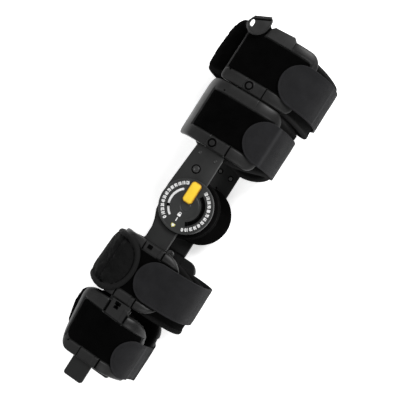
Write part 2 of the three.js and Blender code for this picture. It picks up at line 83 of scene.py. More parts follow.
# Uprights and hinge
SLIM_BAR = {"left": -18.2, "right": 6.2, "top": 219, "bottom": -228.4, "corner": 3}
THIGH_PLATE = {"left": -28.2, "at_hinge": -32.2, "right": 7.4, "far_right": 11.4, "end": 67.4, "disc": 30}
CALF_PLATE = {"left": -21.7, "right": 6.9, "end": -54.2, "disc": 28, "shoulder": 32.2}
GUSSET = [(-31.2, -5), (-29, -20), (-24.8, -30), (-21.7, -42)]
RIVETS = [(-20, 59, 1.9, 0.7), (0.6, 59, 1.9, 0.7), (-13.6, 41, 4, 0.9)]
INNER_RIVETS = [(-12.7, 57.5, 2.1, 0.6), (3, 56, 2.3, 0.6)]
INNER_HOLE = (-5.9, 37.8, 1.2)
DIAL = {"radius": 31.4, "thick": 4, "round": 1, "slot_in": 18.2, "slot_out": 21.4, "slot_depth": 1.5}
DIAL_BASE = BAR_INNER + BAR_THICK + GAP
DIAL_FACE = DIAL_BASE + DIAL["thick"]
# The dial's sunk ring: its depth, and where its two walls start and end
DIAL_SUNK = 0.35
SUNK_IN = (14.6, 15.4)
SUNK_OUT = (28.6, 29.4)
HUB_GROOVE = {"radius": 5.7, "half": 0.5, "depth": 0.4}
NUMBERS = {"ring": 26.1, "size": 5.1, "wide": 3.5, "last": 12, "arcs": ((238, 118), (-66, 62))}
SLOTS = {"extension": (126, 240), "flexion": (-52, 62)}
SLIDER = {"width": 12.5, "length": 25.4, "x": -1.6, "y": 16.2, "thick": 3.1, "corner": 4}
CONDYLE = {"radius": 34.7, "thick": 10, "round_low": 4.2, "round_high": 2.4, "seam": 4.3}
CONDYLE_TOP = BAR_INNER - 3 * GAP - BAR_THICK - 1.5

# Cuffs, as in the CAD: ends along y, bows past the flat, ends of shell and pad on the bow in degrees,
# corner radii of the shell, pad and strap places, the liner's edges at left, flat left, flat right and
# right, and the lock button (x, y, width, length). Then the looks: where the strap creases in degrees, how
# high the crease is and how strong the painted highlight along it is, how far the liner bulges at left, how
# light its rims are and how far the strap bridges the bow. A cuff may also have values of its own for the
# far side, a step in the shell's top edge, a tilt or a corner of the pad, a shift of the channel, a tuck in
# the strap and a peak in the liner.
CUFFS = {
    "upper_thigh": dict(
        low=143.4, high=218, left_low=48.6, left_high=46.2, right=53.4,
        shell_left=22, shell_right=33, tl=18, tr=16, bl=6, br=10,
        pad_left=18, pad_right=23, pad_low=158, pad_high=205.5,
        strap_y=177.6, strap_drop=-1, strap_height=50, tab_near=12.5, tab_far=-23,
        liner_low=(149, 143.8, 143.8, 137.4), liner_high=(213, 211, 214, 207), liner_peak=5,
        lock=(-13, 150.1, 12, 10),
        crease=66, ridge=0.4, painted_crease_highlight=0.3, belly=2.8, rim_tone=1, bridge=2.5,
    ),
    "lower_thigh": dict(
        low=68, high=142.2, left_low=30.2, left_high=30.2, right=41.9,
        shell_left=66, shell_right=40, tl=22, tr=15, bl=3, br=12, far_bl=30,
        pad_left=25, pad_right=28, pad_low=83, pad_high=128,
        strap_y=103.8, strap_drop=0, strap_height=50, tab_near=12.5, tab_far=-23,
        liner_low=(84, 74, 63.4, 76), liner_high=(122, 141.6, 141.6, 138.5),
        lock=(-13.7, 74.9, 12, 10),
        crease=39, ridge=0.9, painted_crease_highlight=0.75, belly=0.6, rim_tone=1, bridge=1.2,
    ),
    "upper_calf": dict(
        low=-127, high=-54.8, left_low=27.5, left_high=22.5, right=50.8,
        shell_left=42, shell_right=29, tl=6, tr=26, bl=8, br=24, far_tr=14, far_trim=8,
        pad_left=20, pad_right=20, pad_low=-115, pad_high=-66.5,
        strap_y=-90.6, strap_drop=0, strap_height=48, tab_near=-6.4, tab_far=-6.4,
        liner_low=(-124, -127.6, -128, -130), liner_high=(-60, -55.4, -56.4, -74),
        far_high=(-60, -60, -64.5, -74),
        lock=(-9.2, -59.8, 7.6, 7.4),
        crease=70, ridge=0, painted_crease_highlight=0, belly=0, rim_tone=0.5, bridge=5, shift=2.3,
    ),
    "lower_calf": dict(
        low=-205.6, high=-131, left_low=19, left_high=34.8, right=27.2,
        shell_left=34, shell_right=64, tl=16, tr=34, bl=24, br=4, step=5,
        pad_left=18, pad_right=48, pad_low=-192, pad_high=-146.5, pad_tilt=4.5, pad_bl=10,
        strap_y=-177, strap_drop=-8, strap_height=46, tab_near=18.5, tab_far=-23,
        liner_low=(-180, -202.8, -200, -200), liner_high=(-146, -129.6, -133, -170),
        far_high=(-146, -131.4, -133, -146),
        lock=(-5.5, -133.4, 10, 11),
        crease=67, ridge=0.8, painted_crease_highlight=0.7, belly=3.4, rim_tone=0.12, bridge=0, shift=3.8, tuck=2.5,
    ),
}
# Borders of each shell, below and above its pad: lines beside the bar channel (x, half width, depth), how
# far the channel is sunk, and how high the rounded pod right of it stands
CHANNEL_LEFT = -18.9
CHANNEL_RIGHT = 6.7
BORDERS = {
    "upper_thigh": {
        "low": (((CHANNEL_LEFT, 0.5, 0.8), (CHANNEL_RIGHT, 0.7, 1)), 0.2, 0.25),
        "high": ((), 0, 0.35),
    },
    "lower_thigh": {
        "low": (((CHANNEL_LEFT, 0.5, 0.8), (CHANNEL_RIGHT, 1, 1.7)), 0.3, 0.3),
        "high": (((CHANNEL_RIGHT, 0.4, 0.3),), 0, 0.2),
    },
    "upper_calf": {
        "low": (((CHANNEL_LEFT, 0.8, 1.2), (CHANNEL_RIGHT, 1, 1.7)), 0.8, 1.6),
        "high": (((CHANNEL_LEFT, 0.9, 1.4), (CHANNEL_RIGHT, 1.1, 1.8)), 0.8, 1.6),
    },
    "lower_calf": {
        "low": (((CHANNEL_LEFT, 0.6, 1), (CHANNEL_RIGHT, 1, 1.7)), 0.3, 0.8),
        "high": (((CHANNEL_LEFT, 1.6, 2.2), (CHANNEL_RIGHT, 1.1, 1.8)), 0.8, 1.7),
    },
}
SHELL_DOTS = {
    "upper_thigh": [(-41, 156)],
    "lower_thigh": [(-33, 132), (-42, 83)],
    "upper_calf": [],
    "lower_calf": [(-31.5, -194.5)],
}
TOP_CHANNEL = {"left": -25, "right": 7, "top": 221.5, "chamfer": 3.5}
BAR_GUIDE = {"left": -13.8, "right": 9.6, "low": -146, "high": -127.7}
LINER_SNAP = (-8.8, -59.6, 4.8)
LOOP_OUTLINE = [
    (-48.7, 219.7), (-31.9, 227.7), (-27.9, 225.4), (-27.1, 219.3), (-27.3, 213.2), (-29.1, 208.1),
    (-33.3, 203.5), (-37.7, 201), (-42.5, 200.4), (-47.3, 202.3), (-50.8, 205.3), (-52.3, 208.5),
    (-52.2, 211.6), (-50.7, 215.5),
]
LOOP_SLOT = [
    (-48.2, 216.6), (-45.6, 215.3), (-44.5, 212.2), (-45, 208),
    (-47.4, 206.8), (-49, 208.3), (-49.6, 211.8), (-49.5, 214.8),
]
# Outline of the dark sheet under the strap loop: painted shade
LOOP_SHADE_OUTLINE = [
    (-45, 202.2), (-42, 199), (-37.5, 198.8), (-32, 201.6), (-27.6, 206.6),
    (-25.5, 212), (-25.3, 219), (-33, 220), (-40, 211),
]
WING = {"end": -8, "end_length": 26, "high": -59, "low": -127.4, "side_high": -60, "side_low": -119}
WING_RIM = 5.6
WING_TURN = 17

# Edges, seams and folds: roundings, distances in from an edge, widths and depths
SHELL_ROUND = 1.7
SHELL_WALL = 0.6
SHELL_DROOP = {"depth": 1.1, "width": 7}
BORDER_RISE = (0.2, 2.4)
POD_RISE = (CHANNEL_RIGHT, 7.8)
STEP_AT = 7.2
LINE_INSET = 0.9
PAD_ROUND = 0.8
LINER_ROUND = 3.2
LINER_BINDING = (4.2, 5.2)
LINER_SLACK = 0.55
STITCH = {"in": 5.4, "sunk": 0.35, "pitch": 3.6, "radius": 0.32}
STRAP_ROUND = 0.9
STRAP_SEAM = {"in": 2.2, "width": 0.7, "depth": 0.35}
STRAP_WAVES = 0.18
CREASE_WIDTH = 2.6
# Width of the painted highlight along a strap's first crease
PAINTED_HIGHLIGHT_WIDTH = 2.1

# Cloth simulation
CLOTH_FRAMES = 16
CLOTH = {
    "quality": 5, "mass": 0.12, "tension_stiffness": 12, "compression_stiffness": 12,
    "shear_stiffness": 5, "bending_stiffness": 0.3, "use_pressure": True,
}

# Photograph: how the camera stood, and what one pixel of the 400 by 400 picture was worth
IMAGE = 400
VIEW = {"yaw": 12.93, "pitch": -0.156, "roll": 32.36, "distance": 1082.4, "pixel": 1.1, "aim": (9.98, 14.28)}


# Lights: name, direction (right, up and over the floor), distance and size in metres, power in watts
LIGHTS = [
    ("key", (0.9, 0.55, 1.0), 2.2, 1.3, 50),
    ("fill", (-1.0, 0.1, 0.9), 2.2, 2.4, 9),
    ("low", (0.2, -1.0, 1.1), 2.4, 1.4, 14),
]
SKY_LIGHT = 0.36
FLOOR_GLOW = 0.6
FLOOR_HALF = 4000


# Small helpers
def lerp(a, b, share):
    return a + (b - a) * share


def smooth(low, high, value):
    share = np.clip((value - low) / (high - low), 0, 1)
    return share * share * (3 - 2 * share)


def soft_noise(a, b, seed):
    """Smooth waves of several sizes in two directions, from -1 to 1 or so, the same every run."""
    draw = np.random.default_rng(seed)
    total = np.zeros(np.broadcast(a, b).shape)
    for size in (46, 31, 19, 12):
        angle, phase = draw.uniform(0, math.pi), draw.uniform(0, 2 * math.pi)
        wave = (a * math.cos(angle) + b * math.sin(angle)) * 2 * math.pi / size
        total = total + np.sin(wave + phase) * size / 46
    return total / 2


def round_edge(distance, radius):
    """How far a rounded edge falls below its face, at a distance in from the outline."""
    short = np.clip(radius - distance, 0, radius)
    return np.sqrt(np.maximum(radius ** 2 - short ** 2, 0)) - radius


# A place on a cuff: station -2 is the left side, -1 to 1 the near flat, 2 the right side, and further on
# comes the far half
def fold(station):
    near = np.where(station > 2, 4 - station, np.where(station < -2, -4 - station, station))
    side = np.where((station > 2) | (station < -2), -1.0, 1.0)
    return near, side


def bow(near):
    return np.maximum(0, np.abs(near) - 1) * math.pi / 2


def place_on(cuff, station, offset, y):
    station, offset, y = np.broadcast_arrays(station, offset, y)
    near, side = fold(station)
    angle = bow(near)
    rise = np.clip((y - cuff["low"]) / (cuff["high"] - cuff["low"]), 0, 1)
    left = FLAT_LEFT - (lerp(cuff["left_low"], cuff["left_high"], rise) + offset) * np.sin(angle)
    right = FLAT_RIGHT + (cuff["right"] + offset) * np.sin(angle)
    flat = lerp(FLAT_LEFT, FLAT_RIGHT, (near + 1) / 2)
    x = np.where(near < -1, left, np.where(near > 1, right, flat))
    return np.stack([x, y, side * (LINER_HALF + offset) * np.cos(angle)], axis=-1)


def left_station(degrees):
    return -1 - degrees / 90


def right_station(degrees):
    return 1 + degrees / 90


def station_at_x(cuff, x, offset):
    if x <= FLAT_RIGHT:
        return -1 + 2 * (x - FLAT_LEFT) / (FLAT_RIGHT - FLAT_LEFT)
    return 1 + math.asin((x - FLAT_RIGHT) / (cuff["right"] + offset)) / (math.pi / 2)


class Ruler:
    """Distances along a cuff between two stations."""

    def __init__(self, cuff, start, end, offset, y, marks=1200):
        self.stations = np.linspace(start, end, marks + 1)
        steps = np.diff(place_on(cuff, self.stations, offset, y), axis=0)
        self.lengths = np.concatenate([[0], np.cumsum(np.linalg.norm(steps, axis=1))])
        self.total = self.lengths[-1]
        self.rising = self.stations[-1] > self.stations[0]

    def station(self, length):
        return np.interp(length, self.lengths, self.stations)

    def length(self, station):
        if self.rising:
            return np.interp(station, self.stations, self.lengths)
        return np.interp(-np.asarray(station), -self.stations, self.lengths)


def shell_outer(cuff, station):
    near, _ = fold(station)
    reach = np.radians(np.where(near < 0, cuff["shell_left"], cuff["shell_right"]))
    return lerp(SHELL_FLAT, SHELL_EDGE, np.clip(bow(near) / reach, 0, 1))


def over_pad(cuff, station):
    return shell_outer(cuff, station) + 2 * GAP + PAD_THICK


def strap_inner(cuff, station):
    near, _ = fold(station)
    start = math.radians(cuff["pad_right"])
    landed = math.radians(max(cuff["pad_right"] + 36, 78))
    lifted = over_pad(cuff, np.minimum(near, right_station(cuff["pad_right"])))
    bridge = cuff["bridge"] * np.sin(2 * bow(near)) ** 2
    landing = lerp(lifted, STRAP_ON_LINER, smooth(start, landed, bow(near))) + bridge
    return np.where(near > 1, landing, over_pad(cuff, near))


# Outlines in the plane of a band: length along it and y across it
def round_off(radius, distance):
    short = np.clip(radius - distance, 0, radius)
    return radius - np.sqrt(np.maximum(radius ** 2 - short ** 2, 0))


class Outline:
    """A rectangle with four corner radii: length along a band, y across it. Its top can fall by a drop."""

    def __init__(self, total, low, high, tl, tr, bl, br, drop=None):
        self.total, self.low, self.high = total, low, high
        self.tl, self.tr, self.bl, self.br = tl, tr, bl, br
        self.drop = drop

    def top(self, length):
        return self.high - (self.drop(length) if self.drop else 0)

    def lows(self, length):
        return self.low + np.maximum(round_off(self.bl, length), round_off(self.br, self.total - length))

    def highs(self, length):
        corners = np.maximum(round_off(self.tl, length), round_off(self.tr, self.total - length))
        return self.top(length) - corners

    def depth(self, length, y):
        """Distance in from the outline."""
        back, under = self.total - length, self.top(length) - y
        inside = np.minimum(np.minimum(length, back), np.minimum(y - self.low, under))
        for radius, across, up in (
            (self.tl, length, under), (self.tr, back, under),
            (self.bl, length, y - self.low), (self.br, back, y - self.low),
        ):
            corner = (across < radius) & (up < radius)
            inside = np.where(corner, radius - np.hypot(radius - across, radius - up), inside)
        return np.maximum(inside, 0)


EDGE_STEPS = np.array([0, 0.12, 0.4, 0.85, 1.5, 2.4, 3.6, 5])


def columns(total, ends, step, extra=()):
    """Cuts along a band: close together at its ends and at the extra places, and a step apart between."""
    cuts = [*ends, *(total - np.asarray(ends)), *np.arange(0, total, step), *extra]
    cuts = np.unique(np.round(np.clip(cuts, 0, total), 3))
    keep = [0]
    for place in range(1, len(cuts)):
        if cuts[place] - cuts[keep[-1]] > 0.03:
            keep.append(place)
    return cuts[keep]


def rows(height, step=3.0, extra=()):
    """Shares across a band, close together at its edges."""
    edge = EDGE_STEPS / height
    middle = np.linspace(edge[-1], 1 - edge[-1], max(3, int(height / step)))
    return np.unique(np.round(np.concatenate([edge, 1 - edge, middle, np.asarray(extra, float)]), 5))


# Meshes
def mesh_object(name, points, faces, uv=None, edge=None, smooth_shading=True):
    """A mesh object in the frame, from points in millimetres around the hinge."""
    mesh = bpy.data.meshes.new(name)
    mesh.from_pydata((np.asarray(points) * MM + HINGE).tolist(), [], faces)
    mesh.update()
    if uv is not None:
        layer = mesh.uv_layers.new(name="UVMap")
        index = np.zeros(len(mesh.loops), int)
        mesh.loops.foreach_get("vertex_index", index)
        layer.data.foreach_set("uv", (np.asarray(uv)[index] * MM).astype(np.float32).ravel())
    if edge is not None:
        mesh.attributes.new("edge", "FLOAT", "POINT").data.foreach_set("value", np.asarray(edge, np.float32))
    work = bmesh.new()
    work.from_mesh(mesh)
    bmesh.ops.recalc_face_normals(work, faces=work.faces)
    work.to_mesh(mesh)
    work.free()
    mesh.polygons.foreach_set("use_smooth", [smooth_shading] * len(mesh.polygons))
    made = bpy.data.objects.new(name, mesh)
    bpy.context.scene.collection.objects.link(made)
    return made


def grid_faces(count, across, start=0, wrap=False, wrap_across=False):
    turn = count if wrap else count - 1
    cross = across if wrap_across else across - 1
    i, j = np.meshgrid(np.arange(turn), np.arange(cross), indexing="ij")
    ii, jj = (i + 1) % count, (j + 1) % across
    quads = np.stack([i * across + j, ii * across + j, ii * across + jj, i * across + jj], axis=-1)
    return (quads.reshape(-1, 4) + start).tolist()


def closed_band(name, top, bottom, uv, edge, wrap=False):
    """A closed mesh between two grids of points that share their outline."""
    count, across = top.shape[:2]
    points = np.concatenate([top.reshape(-1, 3), bottom.reshape(-1, 3)])
    under = count * across
    faces = grid_faces(count, across, 0, wrap) + grid_faces(count, across, under, wrap)
    index = np.arange(under).reshape(count, across)
    rims = [index[:, 0], index[:, -1]] if wrap else [index[:, 0], index[:, -1], index[0, :], index[-1, :]]
    for rim in rims:
        ring = np.append(rim, rim[0]) if wrap else rim
        faces += [[int(a), int(b), int(b + under), int(a + under)] for a, b in zip(ring[:-1], ring[1:])]
    flat = uv.reshape(-1, 2)
    fade = edge.reshape(-1)
    return mesh_object(name, points, faces, np.concatenate([flat, flat]), np.concatenate([fade, fade]))


def mirrored(points, side):
    return points * np.array([1, 1, side])


def tube(name, path, radius, sides=8, closed=False, squash=1.0):
    """A round rod along a path of points, closed on itself or with capped ends."""
    path = np.asarray(path, float)
    ahead = np.roll(path, -1, axis=0) - np.roll(path, 1, axis=0)
    if not closed:
        ahead[0], ahead[-1] = path[1] - path[0], path[-1] - path[-2]
    ahead /= np.linalg.norm(ahead, axis=1)[:, None]
    up = np.where(np.abs(ahead[:, 2:3]) > 0.9, [[1.0, 0, 0]], [[0, 0, 1.0]])
    beside = np.cross(ahead, up)
    beside /= np.linalg.norm(beside, axis=1)[:, None]
    over = np.cross(beside, ahead)
    turn = np.linspace(0, 2 * math.pi, sides, endpoint=False)
    wide, tall = np.cos(turn)[:, None], np.sin(turn)[:, None]
    ring = (beside[:, None] * wide + squash * over[:, None] * tall) * radius
    points = (path[:, None] + ring).reshape(-1, 3)
    faces = grid_faces(len(path), sides, 0, closed, True)
    if not closed:
        faces += [list(range(sides)), list(range((len(path) - 1) * sides, len(path) * sides))]
    return mesh_object(name, points, faces)


def lathe(name, profile, x=0, y=0, side=1, segments=96):
    """A turned piece about a line along z. The profile runs from the axis to the axis."""
    profile = np.asarray(profile, float)
    turn = np.linspace(0, 2 * math.pi, segments, endpoint=False)
    middle = profile[1:-1]
    ring = np.stack([
        np.outer(np.cos(turn), middle[:, 0]) + x, np.outer(np.sin(turn), middle[:, 0]) + y,
        np.broadcast_to(middle[:, 1], (segments, len(middle))),
    ], axis=-1)
    count = len(middle)
    points = [*ring.reshape(-1, 3), (x, y, profile[0, 1]), (x, y, profile[-1, 1])]
    faces = grid_faces(segments, count, 0, True)
    first, last = segments * count, segments * count + 1
    for step in range(segments):
        after = (step + 1) % segments
        faces.append([first, step * count, after * count])
        faces.append([last, after * count + count - 1, step * count + count - 1])
    return mesh_object(name, mirrored(np.array(points), side), faces)


def prism(name, outline, bottom, top, bevel, side=1, segments=2):
    """A plate with bevelled rims, from an outline in x and y."""
    work = bmesh.new()
    low, high = (bottom, top) if side > 0 else (-top, -bottom)
    base = [work.verts.new((x, y, low)) for x, y in outline]
    face = work.faces.new(base)
    raised = bmesh.ops.extrude_face_region(work, geom=[face])["geom"]
    lifted = [item for item in raised if isinstance(item, bmesh.types.BMVert)]
    bmesh.ops.translate(work, vec=(0, 0, high - low), verts=lifted)
    rim = [e for e in work.edges if abs(e.verts[0].co.z - e.verts[1].co.z) < 1e-6]
    bmesh.ops.bevel(work, geom=rim, offset=bevel, segments=segments, profile=0.5, affect="EDGES")
    bmesh.ops.recalc_face_normals(work, faces=work.faces)
    work.verts.index_update()
    points = [tuple(v.co) for v in work.verts]
    faces = [[v.index for v in f.verts] for f in work.faces]
    work.free()
    made = mesh_object(name, points, faces)
    made.data.set_sharp_from_angle(angle=math.radians(32))
    return made


def arc(x, y, radius, start, end, steps):
    turn = np.radians(np.linspace(start, end, steps))
    return [(x + radius * math.cos(t), y + radius * math.sin(t)) for t in turn]


def rounded_rectangle(left, right, low, high, radius, steps=6):
    corners = [(right - radius, low + radius), (right - radius, high - radius),
               (left + radius, high - radius), (left + radius, low + radius)]
    ring = []
    for (x, y), start in zip(corners, (-90, 0, 90, 180)):
        ring += arc(x, y, radius, start, start + 90, steps)
    return ring


def joined(name, pieces):
    """Several meshes as one piece."""
    first = pieces[0]
    if len(pieces) > 1:
        with bpy.context.temp_override(active_object=first, selected_editable_objects=pieces, object=first):
            bpy.ops.object.join()
    first.name = name
    first.data.name = name
    return first


def paint(piece, material):
    piece.data.materials.clear()
    piece.data.materials.append(material)


def dress(piece, material, body, slot, *nodes):
    """The piece's material, the body that it moves with and the solids that it stands for. The slot argument
    is not used.
    """
    paint(piece, material)
    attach(piece, body)
    if nodes:
        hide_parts(*nodes)
    return piece


# Materials
def new_material(name):
    material = bpy.data.materials.new(name)
    material.use_nodes = True
    tree = material.node_tree
    shader = tree.nodes["Principled BSDF"]
    return material, tree, shader


def node(tree, kind, inputs=None, **settings):
    made = tree.nodes.new(kind)
    for key, value in settings.items():
        setattr(made, key, value)
    for key, value in (inputs or {}).items():
        if isinstance(value, bpy.types.NodeSocket):
            tree.links.new(value, made.inputs[key])
        else:
            made.inputs[key].default_value = value
    return made


def math_node(tree, operation, a, b=None):
    made = node(tree, "ShaderNodeMath", operation=operation)
    for place, value in enumerate((a, b)):
        if isinstance(value, bpy.types.NodeSocket):
            tree.links.new(value, made.inputs[place])
        elif value is not None:
            made.inputs[place].default_value = value
    return made.outputs[0]


def shades(tree, factor, dark, light, low=0.35, high=0.65):
    ramp = node(tree, "ShaderNodeValToRGB", {"Fac": factor})
    ramp.color_ramp.elements[0].position = low
    ramp.color_ramp.elements[1].position = high
    ramp.color_ramp.elements[0].color = (*dark, 1)
    ramp.color_ramp.elements[1].color = (*light, 1)
    return ramp.outputs["Color"]


def grey(value, tint=(1, 1, 1)):
    return tuple(value * t for t in tint)


def noise(tree, place, scale, detail, roughness=0.5):
    inputs = {"Vector": place, "Scale": scale, "Detail": detail, "Roughness": roughness}
    return node(tree, "ShaderNodeTexNoise", inputs).outputs["Fac"]


def mix_to(tree, factor, colour, other):
    mixed = node(tree, "ShaderNodeMix", data_type="RGBA")
    tree.links.new(factor, mixed.inputs["Factor"])
    tree.links.new(colour, mixed.inputs["A"])
    mixed.inputs["B"].default_value = (*other, 1)
    return mixed.outputs["Result"]


def add_bump(tree, shader, height, strength, distance):
    bump = node(tree, "ShaderNodeBump", {"Height": height, "Strength": strength, "Distance": distance})
    tree.links.new(bump.outputs["Normal"], shader.inputs["Normal"])


def moulded(name, dark, light, edge_tone, roughness, specular=0.35, grain=900):
    """Moulded plastic or coated metal: fine grain, soft patches and an edge tone mixed in along the mesh's
    edge attribute. On the shells the tone is lighter: partly rubbed edges, partly a painted highlight. On
    the slider it is darker: painted shade.
    """
    material, tree, shader = new_material(name)
    place = node(tree, "ShaderNodeTexCoord").outputs["Object"]
    patches = noise(tree, place, 38, 4, 0.6)
    colour = shades(tree, patches, dark, light)
    edge = node(tree, "ShaderNodeAttribute", attribute_name="edge").outputs["Fac"]
    # Edge tone, broken up by noise: rubbed edges and painted light where the mesh's edge attribute asks for
    # it
    edge_mix = math_node(tree, "MULTIPLY", edge, noise(tree, place, 210, 3))
    tree.links.new(mix_to(tree, edge_mix, colour, edge_tone), shader.inputs["Base Color"])
    rough = node(tree, "ShaderNodeMapRange", {
        "Value": patches, "From Min": 0.3, "From Max": 0.7,
        "To Min": roughness - 0.06, "To Max": roughness + 0.06,
    })
    tree.links.new(rough.outputs["Result"], shader.inputs["Roughness"])
    add_bump(tree, shader, noise(tree, place, grain, 2), 0.18, 0.0003)
    shader.inputs["Specular IOR Level"].default_value = specular
    return material


def knit(name, dark, light, pitch, roughness=0.8, specular=0.07, sheen=0.02, lift=0.5, rim=None):
    """A fine knit: rows of small loops along the band, with soft patches of shade."""
    material, tree, shader = new_material(name)
    uv = node(tree, "ShaderNodeUVMap", uv_map="UVMap").outputs["UV"]
    split = node(tree, "ShaderNodeSeparateXYZ", {"Vector": uv})
    turns = math_node(tree, "MULTIPLY", split.outputs["X"], 2 * math.pi / (pitch * MM))
    along = math_node(tree, "SINE", turns)
    half = math_node(tree, "MULTIPLY", along, 0.6)
    across = math_node(tree, "MULTIPLY", split.outputs["Y"], 2 * math.pi / (pitch * 0.8 * MM))
    loops = math_node(tree, "SINE", math_node(tree, "ADD", across, half))
    weave = math_node(tree, "MULTIPLY", math_node(tree, "ADD", along, loops), 0.5)
    place = node(tree, "ShaderNodeTexCoord").outputs["Object"]
    patches = noise(tree, place, 55, 5, 0.65)
    tone = math_node(tree, "ADD", math_node(tree, "MULTIPLY", weave, 0.10), patches)
    colour = shades(tree, tone, dark, light)
    # The edge attribute mixes in the rim tone: on the straps lighter edges and a painted highlight along the
    # crease, on the liner the bound rims and a painted lighter right side
    if rim:
        edge = node(tree, "ShaderNodeAttribute", attribute_name="edge").outputs["Fac"]
        colour = mix_to(tree, edge, colour, rim)
    tree.links.new(colour, shader.inputs["Base Color"])
    fuzz = noise(tree, place, 1500, 2)
    height = math_node(tree, "ADD", math_node(tree, "MULTIPLY", weave, 0.6), fuzz)
    add_bump(tree, shader, height, lift, 0.00025)
    shader.inputs["Roughness"].default_value = roughness
    shader.inputs["Specular IOR Level"].default_value = specular
    shader.inputs["Sheen Weight"].default_value = sheen
    shader.inputs["Sheen Roughness"].default_value = 0.5
    return material


def napped(name, dark, light, sheen, scale=1100):
    """Brushed loop cloth: a short dense nap with brushed patches."""
    material, tree, shader = new_material(name)
    place = node(tree, "ShaderNodeTexCoord").outputs["Object"]
    nap = noise(tree, place, scale, 4, 0.75)
    fine = math_node(tree, "MULTIPLY", nap, 0.5)
    brushed = math_node(tree, "MULTIPLY", noise(tree, place, 70, 3), 0.5)
    tone = math_node(tree, "ADD", fine, brushed)
    tree.links.new(shades(tree, tone, dark, light), shader.inputs["Base Color"])
    add_bump(tree, shader, nap, 0.8, 0.0006)
    shader.inputs["Roughness"].default_value = 0.97
    shader.inputs["Specular IOR Level"].default_value = 0.02
    shader.inputs["Sheen Weight"].default_value = sheen
    return material


def printed(name, dark, light):
    """White or coloured print, slightly uneven."""
    material, tree, shader = new_material(name)
    place = node(tree, "ShaderNodeTexCoord").outputs["Object"]
    ink = noise(tree, place, 500, 3)
    tree.links.new(shades(tree, ink, dark, light), shader.inputs["Base Color"])
    shader.inputs["Roughness"].default_value = 0.5
    return material


COOL = (0.97, 1, 0.99)
BLUE = (1, 1, 1.07)
# The shells' lighter edge tone is partly rubbed edges, partly a painted highlight
SHELL_PLASTIC = moulded("shell plastic", grey(0.0062), grey(0.0092), grey(0.022), 0.44, specular=0.27)
CAP_PLASTIC = moulded("cap plastic", grey(0.0085), grey(0.0125), grey(0.04), 0.44, specular=0.4)
DIAL_PLASTIC = moulded(
    "dial plastic", grey(0.0145, (0.95, 1, 0.98)), grey(0.021, (0.95, 1, 0.98)), grey(0.05), 0.42,
)
# Near black: the hinge stops, and also painted shade as dark pieces in the shell grooves, the lock buttons'
# gaps, round the rivets, in the dial's flexion slot and under the strap loop
DARK_PLASTIC_AND_PAINTED_SHADE = moulded("dark plastic", grey(0.0005), grey(0.001), grey(0.002), 0.6, specular=0.02)
# The calf uprights' copy of the coated metal: duller, so their side walls catch less of the key light, and
# lighter in colour to make up for it. It is the same finish, with its colour tuned to the light.
COATED_METAL_DULLER_COPY = moulded("calf metal", grey(0.0095, COOL), grey(0.0135, COOL), grey(0.03), 0.6, specular=0.2)
COATED_METAL = moulded("coated metal", grey(0.007, COOL), grey(0.011, COOL), grey(0.1), 0.42)
INNER_METAL = moulded("inner metal", grey(0.028), grey(0.042), grey(0.2), 0.35, specular=0.5)
RIVET_METAL = moulded("rivet metal", grey(0.012), grey(0.02), grey(0.1), 0.35, specular=0.45)
# Its dark orange edge tone is painted shade on the slider's rounded sides
YELLOW_PLASTIC = moulded(
    "yellow plastic", (0.76, 0.5, 0.025), (0.82, 0.555, 0.034), (0.3, 0.12, 0.006), 0.42,
)
# Its lighter rim tone lightens the strap's edges and paints a highlight along the crease
STRAP_KNIT = knit(
    "strap knit", grey(0.0105, BLUE), grey(0.0145, BLUE), 0.75, specular=0.05, rim=grey(0.03, (1, 1, 1.05)),
)
# Its lighter rim tone shows on the bound rims, and over the whole right side as painted light
LINER_KNIT = knit(
    "liner knit", grey(0.0003), grey(0.0009), 1.3, specular=0.0, sheen=0.009, lift=0.8, rim=grey(0.017),
)
WING_KNIT = knit("wing knit", grey(0.0032), grey(0.0052), 1.1, sheen=0.01, lift=0.7, rim=grey(0.0085))
LOOP_NAP = napped("loop nap", grey(0.0006), grey(0.0016), 0.003)
PAD_NAP = napped("condyle nap", grey(0.0018), grey(0.004), 0.008)
THREAD = knit("thread", grey(0.003), grey(0.006), 0.4)
WHITE_PRINT = printed("white print", grey(0.62), grey(0.75))
YELLOW_PRINT = printed("yellow print", (0.4, 0.38, 0.08), (0.5, 0.46, 0.12))


# Cloth
def swell(piece, held, cap, pressure=3.5, slack=0.04):
    """Padded cloth, simulated under light pressure. Held points stay, and none moves past the cap, in mm."""
    mesh = piece.data
    before = np.empty(len(mesh.vertices) * 3)
    mesh.vertices.foreach_get("co", before)
    group = piece.vertex_groups.new(name="held")
    levels = np.round(np.clip(held, 0, 1) * 10).astype(int)
    for level in range(1, 11):
        group.add(np.flatnonzero(levels == level).tolist(), level / 10, "REPLACE")
    cloth = piece.modifiers.new("cloth", "CLOTH")
    cloth.settings.vertex_group_mass = group.name
    for key, value in CLOTH.items():
        setattr(cloth.settings, key, value)
    cloth.settings.shrink_min = -slack
    cloth.settings.uniform_pressure_force = pressure
    cloth.settings.effector_weights.gravity = 0
    cloth.collision_settings.use_collision = False
    cloth.point_cache.frame_start, cloth.point_cache.frame_end = 1, CLOTH_FRAMES
    for step in range(1, CLOTH_FRAMES + 1):
        bpy.context.scene.frame_set(step)
    moved = piece.evaluated_get(bpy.context.evaluated_depsgraph_get())
    after = np.empty_like(before)
    moved.data.vertices.foreach_get("co", after)
    shift = (after - before).reshape(-1, 3)
    far = np.linalg.norm(shift, axis=1)[:, None] / MM
    shift *= np.minimum(1, cap / np.maximum(far, 1e-6))
    mesh.vertices.foreach_set("co", before + shift.ravel())
    mesh.update()
    piece.modifiers.remove(cloth)
    piece.vertex_groups.remove(group)
    bpy.context.scene.frame_set(1)


